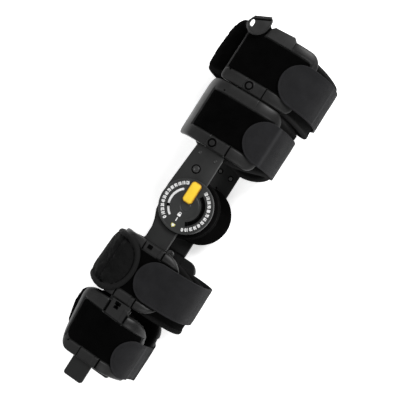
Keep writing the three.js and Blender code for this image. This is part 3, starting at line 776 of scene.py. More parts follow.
# Cuff pieces
def band_grid(along, outline, cuts, shares):
    """Lengths, y, stations and depths of a band's points."""
    lows, highs = outline.lows(cuts), outline.highs(cuts)
    length = np.broadcast_to(cuts[:, None], (len(cuts), len(shares)))
    y = lows[:, None] + (highs - lows)[:, None] * shares
    return length, y, along.station(length), outline.depth(length, y)


def cuff_band(name, cuff, station, y, outer, inner, uv, edge, side=1):
    """A closed band on a cuff, between an outer and an inner offset."""
    top = mirrored(place_on(cuff, station, outer, y), side)
    bottom = mirrored(place_on(cuff, station, inner, y), side)
    return closed_band(name, top, bottom, np.stack(uv, axis=-1), edge)


def make_shell(name, cuff, borders, side):
    """One moulded shell: a raised border round the pad, a channel for the bar and lines beside it."""
    reach, corner, foot = cuff["shell_right"], cuff["tr"], cuff["bl"]
    if side < 0:
        reach -= cuff.get("far_trim", 0)
        corner = cuff.get("far_tr", corner)
        foot = cuff.get("far_bl", foot)
    shift = cuff.get("shift", 0)
    along = Ruler(cuff, left_station(cuff["shell_left"]), right_station(reach), SHELL_EDGE,
                  (cuff["low"] + cuff["high"]) / 2)

    def at_x(x):
        return float(along.length(station_at_x(cuff, x, SHELL_EDGE)))

    step_at = at_x(STEP_AT + shift)
    outline = Outline(along.total, cuff["low"], cuff["high"], cuff["tl"], corner, foot, cuff["br"],
                      lambda length: cuff.get("step", 0) * smooth(step_at - 0.6, step_at + 0.6, length))
    walls = (SLIM_BAR["left"] - GAP, SLIM_BAR["right"] + GAP)
    pad_from = float(along.length(left_station(cuff["pad_left"])))
    pad_to = float(along.length(right_station(cuff["pad_right"])))
    line_steps = (-1.9, -1.4, -1, -0.6, 0, 0.6, 1, 1.4, 1.9)
    rim_steps = (-2.4, -1.6, -0.9, -0.3, 0.3, 0.9, 1.6, 2.4)
    fine = [at_x(line + shift) + step for line in (CHANNEL_LEFT, CHANNEL_RIGHT) for step in line_steps]
    fine += [at_x(line + shift) for line in (0.55, 0.75, 0.95, 8.2, 9)]
    fine += [at_x(wall) + step for wall in walls for step in (-0.02, 0.02)]
    fine += [end + step for end in (pad_from, pad_to) for step in rim_steps]
    largest = max(cuff["tl"], cuff["tr"], cuff["bl"], cuff["br"])
    ends = np.concatenate([EDGE_STEPS, largest * (1 - np.cos(np.linspace(0.15, math.pi / 2, 9)))])
    cuts = columns(along.total, ends, 2.2, fine)
    height = cuff["high"] - cuff["low"]
    pad_rows = [(edge + step - cuff["low"]) / height for edge in (cuff["pad_low"], cuff["pad_high"])
                for step in rim_steps[:6]]
    row_step = 1.6 if shift > 3 else 2.6
    length, y, station, depth = band_grid(along, outline, cuts, rows(height, row_step, pad_rows))
    pad_share = np.clip((length - pad_from) / (pad_to - pad_from), 0, 1)
    pad_top = cuff["pad_high"] - cuff.get("pad_tilt", 0) * pad_share
    past_ends = np.maximum(pad_from - length, length - pad_to)
    beyond = np.maximum(past_ends, np.maximum(cuff["pad_low"] - y, y - pad_top))
    border = SHELL_BORDER * smooth(*BORDER_RISE, beyond)
    points = place_on(cuff, station, 0, y)
    x = points[..., 0] - shift
    for edge, past in (("low", cuff["pad_low"] - y), ("high", y - pad_top)):
        lines, drop, pod = borders[edge]
        on = smooth(0.3, 1.5, past)
        channel = smooth(-19.1, -18.7, x) * smooth(0.9, 0.6, x) + smooth(6.1, 6.3, x) * smooth(6.9, 6.5, x)
        share = np.clip(past, 0, None) / np.maximum(np.clip(past, 0, None) + depth, 0.01)
        dome = np.sqrt(np.clip(1 - (2 * share - 1) ** 2, 0, 1))
        border = border + on * (pod * dome * smooth(*POD_RISE, x) - drop * channel)
        for line, half, deep in lines:
            border = border - on * deep * smooth(1.2, 0.6, np.abs(x - line) / half)
    border = border - SHELL_DROOP["depth"] * (1 - np.clip(depth / SHELL_DROOP["width"], 0, 1)) ** 2
    outer = shell_outer(cuff, station) + border + round_edge(depth, SHELL_ROUND)
    in_channel = (points[..., 0] > walls[0]) & (points[..., 0] < walls[1]) & (np.abs(fold(station)[0]) < 1)
    inner = np.where(in_channel, BAR_INNER + BAR_THICK + GAP - LINER_HALF, SHELL_INNER)
    inner = np.minimum(inner, outer - SHELL_WALL)
    # Lighter at the outline and along the crest of the border's rise: partly rubbed edges, partly a painted
    # highlight where the rounded edges would catch the light
    rubbed_edges_and_painted_highlight = np.exp(-depth / 0.7) + 0.5 * np.exp(-np.abs(beyond - BORDER_RISE[1]) / 0.8)
    return cuff_band(name, cuff, station, y, outer, inner, [length, y], rubbed_edges_and_painted_highlight, side)


def make_groove_shade(name, cuff, borders, side):
    """Painted shade: dark rods in the bottoms of the deeper lines beside the bar channel."""
    made = []
    spans = {
        "low": (cuff["low"] + LINE_INSET, cuff["pad_low"] - LINE_INSET),
        "high": (cuff["pad_high"] + LINE_INSET, cuff["high"] - LINE_INSET),
    }
    for edge, (low, high) in spans.items():
        for line, half, deep in borders[edge][0]:
            if deep < 1:
                continue
            if edge == "high" and line > 0:
                high -= cuff.get("step", 0)
            station = station_at_x(cuff, line + cuff.get("shift", 0), SHELL_FLAT)
            level = SHELL_FLAT + SHELL_BORDER - deep + 0.25
            path = [place_on(cuff, np.array(station), level, np.array(y)) for y in np.linspace(low, high, 6)]
            made.append(tube("line", mirrored(np.array(path), side), half * 0.6, 8, squash=0.5))
    return joined(name, made)


def make_loop_pad(name, cuff, side):
    """A loop pad with a napped face and a slightly uneven cut edge."""
    along = Ruler(cuff, left_station(cuff["pad_left"]), right_station(cuff["pad_right"]), SHELL_FLAT,
                  (cuff["pad_low"] + cuff["pad_high"]) / 2)
    outline = Outline(along.total, cuff["pad_low"], cuff["pad_high"], 2, 2, cuff.get("pad_bl", 2), 2,
                      lambda length: cuff.get("pad_tilt", 0) * length / along.total)
    cuts = columns(along.total, np.append(EDGE_STEPS, (6.5, 8, 9.5)), 2.4)
    height = cuff["pad_high"] - cuff["pad_low"]
    length, y, station, depth = band_grid(along, outline, cuts, rows(height, 2.4))
    nap = 0.12 * soft_noise(length * 2.5, y * 2.5, 11)
    base = shell_outer(cuff, station)
    outer = base + GAP + PAD_THICK - 0.15 + nap + round_edge(depth, PAD_ROUND)
    inner = base + 0.12
    return cuff_band(name, cuff, station, y, outer, inner, [length, y], np.exp(-depth), side)


def make_liner(name, cuff):
    """The padded liner, all the way round, with a bound rim at both ends."""
    stations = np.linspace(-2, 6, 221)[:-1]
    near, _ = fold(stations)
    swing = np.sin(bow(near)) ** 2

    def edge_at(edge):
        left, flat_left, flat_right, right = edge
        flat = lerp(flat_left, flat_right, np.clip((near + 1) / 2, 0, 1))
        return lerp(flat, np.where(near < 0, left, right), swing)

    low, high = edge_at(cuff["liner_low"]), edge_at(cuff["liner_high"])
    if "far_high" in cuff:
        far = smooth(1.9, 2.5, stations) * smooth(6, 5.5, stations)
        high = lerp(high, edge_at(cuff["far_high"]), far)
    off_peak = np.degrees(bow(near)) - 45
    peak = np.exp(-(off_peak / np.where(off_peak < 0, 8, 17)) ** 2)
    high = high + np.where(near < 0, cuff.get("liner_peak", 0) * peak, 0)
    shares = rows(float((high - low).max()), 3.4)
    y = low[:, None] + (high - low)[:, None] * shares
    depth = np.minimum(y - low[:, None], high[:, None] - y)
    station = np.broadcast_to(stations[:, None], y.shape)
    round_length = stations[:, None] * 40 + 0 * y
    bare = smooth(1.0, 1.35, np.abs(near))[:, None]
    rim = 1 - smooth(*LINER_BINDING, depth)
    folds = soft_noise(round_length * 0.6, y * 1.4, 5) * bare
    middle = 1 - (2 * shares - 1) ** 2
    belly = cuff["belly"] * (swing * (near < 0))[:, None] * middle
    sunk = -LINER_SLACK + 0.5 * rim + round_edge(depth, LINER_ROUND)
    outer = sunk + 0.45 * folds * (1 - rim) + belly
    inner = -LINER_THICK - sunk + 0.3 * folds * (1 - rim) + belly
    # Painted light: the whole right side is made lighter than the left, beyond the bound rims
    right_share = smooth(-1, 1, near)[:, None]
    tone = cuff["rim_tone"] * lerp(0.25 * rim, 0.45 + 0.55 * rim, right_share)
    made = closed_band(
        name, place_on(cuff, station, outer, y), place_on(cuff, station, inner, y),
        np.stack([round_length, y], axis=-1), tone, wrap=True,
    )
    clear = smooth(5, 8, depth)
    bare_left = smooth(0.05, 0.2, left_station(cuff["shell_left"]) - near)[:, None] * (cuff["belly"] > 0)
    swell(made, np.concatenate([1 - (clear * bare_left).ravel(), 1 - clear.ravel()]), 1.4)
    return made, stations, low, high


def liner_stitches(name, cuff, stations, low, high):
    """One row of stitches beside each bound rim, on the side bows where the liner shows."""
    fine = np.linspace(-2, 6, 1601)[:-1]
    made = []
    for edge, step in ((low, STITCH["in"]), (high, -STITCH["in"])):
        level = np.interp(fine, stations, edge) + step
        line = place_on(cuff, fine, -STITCH["sunk"], level)
        walked = np.concatenate([[0], np.cumsum(np.linalg.norm(np.diff(line, axis=0), axis=1))])
        for start in np.arange(0, walked[-1] - 3, STITCH["pitch"]):
            spots = [start, start + 0.75, start + 1.5, start + 2.3]
            path = np.stack([np.interp(spots, walked, line[:, axis]) for axis in range(3)], axis=-1)
            made.append(tube("stitch", path, STITCH["radius"], 5))
    return joined(name, made)


def make_strap(name, cuff):
    """A knit strap with round ends, pressed edges and a crease where it turns round the leg, with a painted
    highlight along the crease.
    """
    start = station_at_x(cuff, cuff["tab_near"], float(strap_inner(cuff, np.array(1.0))))
    end = 4 - station_at_x(cuff, cuff["tab_far"], float(strap_inner(cuff, np.array(0.0))))
    along = Ruler(cuff, start, end, SHELL_FLAT, cuff["strap_y"])
    half = cuff["strap_height"] / 2
    outline = Outline(along.total, -half, half, half - 0.01, half - 0.01, half - 0.01, half - 0.01)
    creases = [float(along.length(right_station(turn))) for turn in (cuff["crease"], 180 - cuff["crease"])]
    ends = half * (1 - np.cos(np.linspace(0.06, math.pi / 2, 22)))
    cuts = columns(along.total, ends, 2.4, [c + step for c in creases for step in np.linspace(-7, 7, 13)])
    cuts = cuts[(cuts >= ends[0] - 1e-3) & (cuts <= along.total - ends[0] + 1e-3)]
    length, across, station, depth = band_grid(along, outline, cuts, rows(2 * half, 3.0))
    way = length / along.total
    slant = np.clip(2 * way, 0, 1) - 0.6 * smooth(0.5, 0.68, way)
    y = across + cuff["strap_y"] + cuff["strap_drop"] * slant
    turned = smooth(math.radians(40), math.radians(85), bow(fold(station)[0]))
    y = y + cuff.get("tuck", 0) * turned * np.clip(0.5 - across / (2 * half), 0, 1) ** 2
    inner = strap_inner(cuff, station)
    ridge = sum(cuff["ridge"] * np.exp(-((length - c) / CREASE_WIDTH) ** 2) for c in creases)
    slack = STRAP_WAVES * soft_noise(length, across, 21)
    pressed = -STRAP_SEAM["depth"] * np.exp(-((depth - STRAP_SEAM["in"]) / STRAP_SEAM["width"]) ** 2)
    outer = inner + STRAP_THICK - 0.3 + ridge + slack + pressed + round_edge(depth, STRAP_ROUND)
    # A painted highlight: the knit is lightened along the first crease, where the bend would catch the light
    painted_crease_highlight = cuff["painted_crease_highlight"] * np.exp(-((length - creases[0]) / PAINTED_HIGHLIGHT_WIDTH) ** 2)
    inner = inner + 0.05 - 0.5 * round_edge(depth, STRAP_ROUND)
    # Edge tone: lighter rims and the painted crease highlight
    rubbed_edges_and_painted_highlight = np.maximum(painted_crease_highlight, 0.3 * np.exp(-depth / 0.8))
    made = cuff_band(name, cuff, station, y, outer, inner, [length, across], rubbed_edges_and_painted_highlight)
    corner_loss = (4 - math.pi) * half ** 2
    size = (cuff["strap_height"] * MM, float(along.total) * MM)
    return made, size, size[0] * size[1] - corner_loss * MM ** 2


def make_wing(name, cuff):
    """The padded calf wing, with a piped rim, a sunk middle and a crease where it turns, and its seam."""
    start = station_at_x(cuff, WING["end"], 0)
    along = Ruler(cuff, start, -4 - start, SHELL_FLAT + PAD_THICK, cuff["strap_y"])
    reach = WING["end_length"]
    crease_at = float(along.length(left_station(WING_TURN)))

    def span(length):
        near, _ = fold(along.station(length))
        swing = np.sin(bow(near)) ** 2
        high, low = lerp(WING["high"], WING["side_high"], swing), lerp(WING["low"], WING["side_low"], swing)
        return (high + low) / 2, (high - low) / 2

    def levels(length, y):
        station = along.station(length)
        near, side = fold(station)
        swing = np.sin(bow(near)) ** 2
        middle, full = span(length)
        off_end = np.minimum(length, along.total - length)
        aside = np.abs(y - middle)
        inside_end = reach - np.hypot(np.clip(reach - off_end, 0, None), aside * reach / full)
        depth = np.where(off_end < reach, np.minimum(inside_end, full - aside), full - aside)
        depth = np.maximum(depth, 0)
        taper = np.sqrt(1 - np.clip(1 - off_end / reach, 0, 1) ** 2)
        leave = smooth(math.radians(cuff["shell_left"]), math.radians(80), bow(near))
        inner = lerp(over_pad(cuff, near), STRAP_ON_LINER, leave)
        thick = lerp(0.7, 1, taper) * lerp(np.where(side > 0, WING_NEAR, WING_FAR), WING_SIDE, swing)
        piping = np.sqrt(np.clip(1 - 0.75 * ((depth - WING_RIM / 2) / (WING_RIM / 2)) ** 2, 0, 1))
        panel = 0.34 + 0.4 * smooth(WING_RIM, WING_RIM + 9, depth) + 0.05 * soft_noise(length, y, 31)
        crease = 0.3 * np.exp(-((length - crease_at) / 1.4) ** 2)
        sunk = smooth(WING_RIM - 0.2, WING_RIM + 0.4, depth)
        crown = 0.2 + 0.8 * np.sqrt(1 - (1 - np.clip(depth / 15, 0, 1)) ** 2) - 0.6 * crease * sunk
        outer = inner + thick * lerp(lerp(piping, panel - crease, sunk), crown, swing)
        return station, depth, inner + 0.1 - 0.3 * round_edge(depth, 1.2), outer, sunk

    rim_ends = reach * (1 - np.cos(np.linspace(0.06, math.pi / 2, 22)))
    lip = np.array([0.3, 1, 2, 3.2, 4.4, 5.2, 5.6, 6, 6.6, 7.8])
    ends = np.concatenate([rim_ends, lip + rim_ends[0]])
    cuts = columns(along.total, ends, 2.2, crease_at + np.linspace(-3, 3, 9))
    cuts = cuts[(cuts >= rim_ends[0] - 1e-3) & (cuts <= along.total - rim_ends[0] + 1e-3)]
    steps = np.array([0, 0.2, 0.7, 1.4, 2.2, 3.2, 4.2, 5, 5.4, 5.8, 6.4, 7.4]) / 68
    shares = np.unique(np.concatenate([steps, 1 - steps, np.linspace(steps[-1], 1 - steps[-1], 24)]))
    middle, full = span(cuts)
    share = np.sqrt(1 - np.clip(1 - np.minimum(cuts, along.total - cuts) / reach, 0, 1) ** 2)
    y = middle[:, None] + (share * full)[:, None] * (2 * shares - 1)
    length = np.broadcast_to(cuts[:, None], y.shape)
    station, depth, inner, outer, sunk = levels(length, y)
    made = cuff_band(name, cuff, station, y, outer, inner, [length, y], 1 - sunk)
    free = smooth(WING_RIM, WING_RIM + 2, depth) * (1 - np.exp(-((length - crease_at) / 2) ** 2))
    swell(made, np.concatenate([1 - free.ravel(), np.ones(free.size)]), 0.9)
    round_end = np.linspace(-math.pi / 2, math.pi / 2, 60)
    straight = np.linspace(crease_at - 3, reach, 8)[:-1]
    inset = WING_RIM + 0.2
    seam_length = np.concatenate([straight, reach - (reach - inset) * np.cos(round_end), straight[::-1]])
    middle, full = span(seam_length)
    turn = np.concatenate([-np.ones(7), np.sin(round_end), np.ones(7)])
    seam_y = middle + turn * full * (1 - inset / reach)
    station, _, _, outer, _ = levels(seam_length, seam_y)
    seam = tube(name + "_seam", place_on(cuff, station, outer + 0.15, seam_y), 0.55, 8)
    return made, seam


def make_top_cap(name, side):
    """The bar's end cap on the upper thigh shell."""
    left, right, top, chamfer = (TOP_CHANNEL[key] for key in ("left", "right", "top", "chamfer"))
    low = CUFFS["upper_thigh"]["pad_high"] + 1.4
    outline = [(left, low), (right, low), (right, top - chamfer), (right - chamfer, top),
               (left + chamfer, top - 1), (left, top - chamfer - 1)]
    level = LINER_HALF + SHELL_FLAT + SHELL_BORDER + 0.9
    return prism(name, outline, BAR_INNER + BAR_THICK + 1, level, 0.8, side, 3)


def make_lock_button(name, cuff, side):
    """A lock button: a bevelled key on the channel."""
    x, y, width, length = cuff["lock"]
    face = LINER_HALF + SHELL_FLAT + (SHELL_BORDER + 0.3 if y > 0 else 0.9)
    outline = rounded_rectangle(x - width / 2, x + width / 2, y - length / 2, y + length / 2, 1.4, 4)
    return prism(name, outline, LINER_HALF + SHELL_FLAT - 1.6, face, 0.45, side), face


def make_lock_gap_shade(name, cuff, face, side):
    """Painted shade for the gap of a lock button: a dark ring on the thigh, a dark slot on the calf."""
    x, y, width, length = cuff["lock"]
    if y > 0:
        ring = [(px, py, face) for px, py in arc(x + 0.6, y, 4.2, 0, 360, 41)[:-1]]
        return tube(name, mirrored(np.array(ring), side), 1, 8, True, 0.4)
    if width < 9:
        sizes = [(0.4, 0.4, 0)]
    else:
        sizes = [(0.36, 0.19, 0.22), (0.17, 0.24, 0), (0.29, 0.19, -0.24)]
    parts = []
    for half_width, half_length, up in sizes:
        middle = y + up * length
        beside, over = half_width * width, half_length * length
        outline = rounded_rectangle(x - beside, x + beside, middle - over, middle + over, 0.6, 4)
        parts.append(prism("slot", outline, face - 1.6, face + 0.08, 0.06, side))
    return joined(name, parts)


def make_bar_guide(name, side):
    """The block on the lowest cuff that guides the bar and reaches up to the cuff above."""
    left, right, low, high = (BAR_GUIDE[key] for key in ("left", "right", "low", "high"))
    outline = rounded_rectangle(left, right, low, high, 1.2, 4)
    return prism(name, outline, BAR_INNER + BAR_THICK + 0.5, LINER_HALF + SHELL_FLAT + 0.5, 0.4, side)


def make_liner_snap(name, side):
    """The domed cap of the snap that holds the liner in the upper calf shell, on the leg side."""
    x, y, radius = LINER_SNAP
    level = LINER_HALF - LINER_THICK + 0.6
    turn = np.linspace(0, math.pi / 2, 7)
    dome = [(radius * math.cos(t), level - 1.8 * math.sin(t) ** 0.8) for t in turn[:-1]]
    return lathe(name, [(0, level + 0.6), (radius, level + 0.6), *dome, (0, level - 1.8)], x, y, side, 40)


def make_shell_dot(name, cuff, x, y, side):
    """A small sunk rivet on a shell."""
    share = (y - cuff["low"]) / (cuff["high"] - cuff["low"])
    left = lerp(cuff["left_low"], cuff["left_high"], share) + SHELL_EDGE
    station = left_station(math.degrees(math.asin(max(0, FLAT_LEFT - x) / left)))
    level = float(shell_outer(cuff, np.array(station))) + SHELL_BORDER
    foot = (np.array(station), np.array(float(y)))
    path = [place_on(cuff, foot[0], level + rise, foot[1]) for rise in (-0.8, -0.2, 0.15)]
    return tube(name, mirrored(np.array(path), side), 1.05, 14)


# Hinge and upright pieces
def thigh_outline(right):
    plate, bar = THIGH_PLATE, SLIM_BAR
    meet = math.degrees(math.acos(right / plate["disc"]))
    return [
        (plate["at_hinge"], 12), (plate["at_hinge"], 0.4), *arc(0, 0, plate["disc"], 180.8, 360 + meet, 60),
        (right, plate["end"]), (bar["right"], plate["end"] + 0.3),
        *arc(bar["right"] - bar["corner"], bar["top"] - bar["corner"], bar["corner"], 0, 90, 6),
        *arc(bar["left"] + bar["corner"], bar["top"] - bar["corner"], bar["corner"], 90, 180, 6),
        (bar["left"], plate["end"] + 0.3), (plate["left"], plate["end"]),
    ]


def make_thigh_upright(name, side):
    right = THIGH_PLATE["right"] if side > 0 else THIGH_PLATE["far_right"]
    return prism(name, thigh_outline(right), BAR_INNER, BAR_INNER + BAR_THICK, 1.25, side, 2)


def make_calf_upright(name, side):
    plate, bar = CALF_PLATE, SLIM_BAR
    under = BAR_INNER - GAP
    tongue = [
        *arc(0, 0, plate["disc"], 196, -75, 60),
        (plate["right"], -53), (plate["left"], -53), *reversed(GUSSET),
    ]
    low_piece = prism(name + "_tongue", list(reversed(tongue)), under - BAR_THICK, under, 0.5, side)
    turn = []
    for x in (plate["left"], plate["right"]):
        turn.append(math.degrees(math.atan2(-math.sqrt(plate["shoulder"] ** 2 - x ** 2), x)))
    upper = [
        *arc(0, 0, plate["shoulder"], turn[0], turn[1], 16), (plate["right"], plate["end"]),
        (bar["right"], plate["end"] - 0.3),
        *arc(bar["right"] - bar["corner"], bar["bottom"] + bar["corner"], bar["corner"], 0, -90, 6),
        *arc(bar["left"] + bar["corner"], bar["bottom"] + bar["corner"], bar["corner"], -90, -180, 6),
        (bar["left"], plate["end"] - 0.3), (plate["left"], plate["end"]),
    ]
    upper.reverse()
    high_piece = prism(name + "_plate", upper, under - 0.4, BAR_INNER + BAR_THICK, 0.35, side, 2)
    return joined(name, [low_piece, high_piece])


def make_rivet(name, x, y, radius, head, side, level=BAR_INNER + BAR_THICK, out=1):
    """A ring rivet on a face of an upright: a domed ring with a shallow middle."""
    dome = [(1, 0.4), (0.86, 0.85), (0.66, 1), (0.5, 0.8), (0.42, 0.6), (0, 0.6)]
    steps = [(0, -1), (1.02, -1), *((share, head * rise) for share, rise in dome)]
    profile = [(radius * r, level + out * h) for r, h in steps]
    return lathe(name, profile, x, y, side, 40)


def make_shade_disc(name, x, y, radius, level, side, out=1):
    """Painted shade: a flat dark disc for the gap round a rivet, or for a hole."""
    foot, face = level - out * 0.5, level + out * 0.1
    profile = [(0, foot), (radius, foot), (radius, face), (0, face)]
    return lathe(name, profile, x, y, side, 40)


def make_dial(name, side):
    """The dial: a turned plate with a rounded rim, a fine step round the middle and two curved slots."""
    radius, rim = DIAL["radius"], DIAL["round"]
    radii = np.concatenate([
        [0.6, 4, 5.1, 5.4, 5.7, 6, 6.3, 8, 12, 14.6, 15.0, 15.4, 16, 17.2, 18.15, 18.25, 19.8],
        [21.35, 21.45, 22.6, 24, 26, 28, 28.6, 29.0, 29.6],
        radius - rim + rim * np.sin(np.linspace(0, math.pi / 2, 7)),
    ])
    turns = np.linspace(-180, 180, 241)[:-1]
    ends = [edge + step for slot in SLOTS.values() for edge in slot for step in (-0.15, 0.15)]
    ends = [((e + 180) % 360) - 180 for e in ends]
    turns = np.unique(np.round(np.concatenate([turns, ends]), 4))
    turns = turns[np.concatenate([[True], np.diff(turns) > 0.1])]
    r, t = np.meshgrid(radii, turns, indexing="xy")
    height = np.full(r.shape, float(DIAL_FACE))
    height = height + np.where(r > radius - rim, round_edge(radius - r, rim), 0)
    height = height - DIAL_SUNK * smooth(*SUNK_IN, r) * (1 - smooth(*SUNK_OUT, r))
    off_groove = np.abs(r - HUB_GROOVE["radius"]) / HUB_GROOVE["half"]
    height = height - HUB_GROOVE["depth"] * np.clip(1 - off_groove, 0, 1)
    for low, high in SLOTS.values():
        within = (np.mod(t - low, 360) < (high - low)) & (r > DIAL["slot_in"]) & (r < DIAL["slot_out"])
        height = np.where(within, DIAL_FACE - DIAL["slot_depth"], height)
    x, y = r * np.cos(np.radians(t)), r * np.sin(np.radians(t))
    top = np.stack([x, y, height], axis=-1)
    count, across = r.shape
    under = np.stack([x, y, np.full(r.shape, float(DIAL_BASE))], axis=-1)
    points = np.concatenate([top.reshape(-1, 3), under.reshape(-1, 3)])
    base = count * across
    faces = grid_faces(count, across, 0, True) + grid_faces(count, across, base, True)
    for step in range(count):
        here = step * across + across - 1
        after = ((step + 1) % count) * across + across - 1
        faces.append([here, after, base + after, base + here])
    faces += [[s * across for s in range(count)], [base + s * across for s in range(count)]]
    made = mesh_object(name, mirrored(points, side), faces)
    made.data.set_sharp_from_angle(angle=math.radians(40))
    return made


def glyphs(name, marks, side, height=0.12):
    """Raised numerals as one mesh. Each mark: text, x, y, size, turn in degrees, greatest width."""
    made = []
    for text, x, y, size, turn, wide in marks:
        curve = bpy.data.curves.new("numeral", "FONT")
        curve.body = text
        curve.size = size
        curve.align_x, curve.align_y = "CENTER", "CENTER"
        curve.offset = size * 0.05
        curve.extrude = height / 2
        curve.resolution_u = 3
        writing = bpy.data.objects.new("numeral", curve)
        bpy.context.scene.collection.objects.link(writing)
        shape = bpy.data.meshes.new_from_object(writing.evaluated_get(bpy.context.evaluated_depsgraph_get()))
        bpy.data.objects.remove(writing)
        local = np.array([v.co for v in shape.vertices])
        local[:, 0] *= min(1, wide / np.ptp(local[:, 0]))
        c, s = math.cos(math.radians(turn)), math.sin(math.radians(turn))
        gx, gy = local[:, 0] * side, local[:, 1]
        level = DIAL_FACE - DIAL_SUNK + height / 2 + local[:, 2] + 0.02
        points = np.stack([x + c * gx - s * gy, y + s * gx + c * gy, side * level], axis=-1)
        faces = [list(face.vertices) for face in shape.polygons]
        made.append(mesh_object("numeral", points, faces, smooth_shading=False))
    return joined(name, made)


def dial_numbers(name, side):
    """Plain degrees on both arcs, from 0 to 120."""
    marks = []
    ring, last = NUMBERS["ring"], NUMBERS["last"]
    for start, end in NUMBERS["arcs"]:
        for step in range(last + 1):
            turn = lerp(start, end, step / last)
            x, y = ring * math.cos(math.radians(turn)), ring * math.sin(math.radians(turn))
            marks.append((str(10 * step), x, y, NUMBERS["size"], turn - 90, NUMBERS["wide"]))
    return glyphs(name, marks, side)


def ring_sector(name, inner, outer, start, end, bottom, top, side, bevel=0.2):
    outline = [*arc(0, 0, outer, start, end, 40), *arc(0, 0, inner, end, start, 40)]
    return prism(name, outline, bottom, top, bevel, side)


def make_slider(name, side):
    """The lock slider: a rounded block with a slightly crowned top."""
    sizes = ("width", "length", "x", "y", "thick", "corner")
    width, length, x0, y0, thick, corner = (SLIDER[size] for size in sizes)
    outline = Outline(width, y0 - length / 2, y0 + length / 2, corner, corner, corner, corner)
    ends = np.concatenate([EDGE_STEPS, corner * (1 - np.cos(np.linspace(0.1, math.pi / 2, 9)))])
    cuts = columns(width, ends[ends < width / 2], 0.8)
    shares = rows(length, 1.2)
    lows, highs = outline.lows(cuts), outline.highs(cuts)
    y = lows[:, None] + (highs - lows)[:, None] * shares
    across = np.broadcast_to(cuts[:, None], y.shape)
    depth = outline.depth(across, y)
    bottom = DIAL_FACE + GAP
    top = bottom + thick - 0.5 + 0.5 * smooth(0, 6, depth) + round_edge(depth, 1.6)
    x = across - width / 2 + x0
    # The edge attribute darkens the rounded sides toward orange: painted shade
    return closed_band(
        name, mirrored(np.stack([x, y, top], axis=-1), side),
        mirrored(np.stack([x, y, np.full(y.shape, bottom)], axis=-1), side),
        np.stack([x, y], axis=-1), 1.8 * np.exp(-(depth / 1.1) ** 2),
    )


def make_condyle_pad(name, side):
    """A round foam pad with a full rim and a seam round its middle."""
    radius, thick, top = CONDYLE["radius"], CONDYLE["thick"], CONDYLE_TOP
    round_low, round_high, seam_at = CONDYLE["round_low"], CONDYLE["round_high"], top - CONDYLE["seam"]
    turn = np.linspace(0, math.pi / 2, 9)
    bottom = top - thick
    low = [(radius - round_low * (1 - math.sin(t)), bottom + round_low * (1 - math.cos(t))) for t in turn]
    seam = [(radius, seam_at - 0.3), (radius - 0.7, seam_at), (radius, seam_at + 0.3)]
    high = [(radius - round_high * (1 - math.cos(t)), top - round_high * (1 - math.sin(t))) for t in turn]
    inner_face = [(0, bottom), (radius * 0.5, bottom + 0.05), (radius * 0.78, bottom + 0.25)]
    made = lathe(name, [*inner_face, *low[1:], *seam, *high, (0, top)], 0, 0, side, 112)
    level = np.array([v.co.z for v in made.data.vertices]) - HINGE[2]
    swell(made, smooth(top - 6.4, top - 4.6, np.abs(level) / MM), 1.6)
    return made


def rounded(points, rounds=2):
    """A ring of points with its corners cut, again and again."""
    ring = np.array(points, float)
    for _ in range(rounds):
        after = np.roll(ring, -1, axis=0)
        ring = np.stack([0.75 * ring + 0.25 * after, 0.25 * ring + 0.75 * after], axis=1).reshape(-1, 2)
    return ring


def make_strap_loop(name):
    """The moulded strap loop: a bevelled plate with a slot, a rolled lip, a bead round it and a foot. Apart
    from it, painted shade: a dark rod under the lip and a dark sheet under the plate.
    """
    bottom, thick = BAR_INNER + 8.1, 2.8
    outline, slot = rounded(LOOP_OUTLINE), rounded(LOOP_SLOT)
    curve = bpy.data.curves.new(name, "CURVE")
    curve.dimensions, curve.fill_mode = "2D", "BOTH"
    curve.bevel_depth, curve.bevel_resolution, curve.offset = 0.5, 2, -0.5
    curve.extrude = thick / 2 - 0.5
    for ring in (outline, slot):
        spline = curve.splines.new("POLY")
        spline.points.add(len(ring) - 1)
        for point, (px, py) in zip(spline.points, ring):
            point.co = (px, py, 0, 1)
        spline.use_cyclic_u = True
    flat = bpy.data.objects.new(name, curve)
    bpy.context.scene.collection.objects.link(flat)
    shape = bpy.data.meshes.new_from_object(flat.evaluated_get(bpy.context.evaluated_depsgraph_get()))
    bpy.data.objects.remove(flat)
    work = bmesh.new()
    work.from_mesh(shape)
    bmesh.ops.remove_doubles(work, verts=work.verts, dist=1e-4)
    work.verts.index_update()
    points = [(v.co.x, v.co.y, v.co.z + bottom + thick / 2) for v in work.verts]
    faces = [[v.index for v in f.verts] for f in work.faces]
    work.free()
    body = mesh_object(name, points, faces)
    body.data.set_sharp_from_angle(angle=math.radians(35))
    top = bottom + thick
    start, end = np.array((-48.2, 218.4, top + 0.5)), np.array((-30, 226.5, top + 0.5))
    lip = tube("lip", [lerp(start, end, t) for t in np.linspace(0, 1, 14)], 1.7, 14)
    middle = outline.mean(axis=0)
    edge = [(*(middle + 0.94 * (point - middle)), top) for point in outline[6:]]
    bead = tube("bead", edge, 0.95, 8)
    foot = prism("foot", rounded_rectangle(-39, -29, 207.5, 215.5, 2), bottom - 1.8, bottom + 0.8, 0.4)
    below = np.array((0.95, -2.15, -0.45))
    # Painted shadow: a dark rod under the lip
    line = tube(name + "_line", [lerp(start, end, t) + below for t in np.linspace(0.06, 0.97, 14)], 0.6, 8)
    # Painted shade: a dark sheet under the plate
    shade_sheet = rounded(LOOP_SHADE_OUTLINE, 1).tolist()
    shade_sheet.reverse()
    shade_sheet = prism(name + "_seat", shade_sheet, bottom - 1.5, bottom - 0.3, 0.1)
    return joined(name, [body, lip, bead, foot]), joined(name + "_shade", [line, shade_sheet])


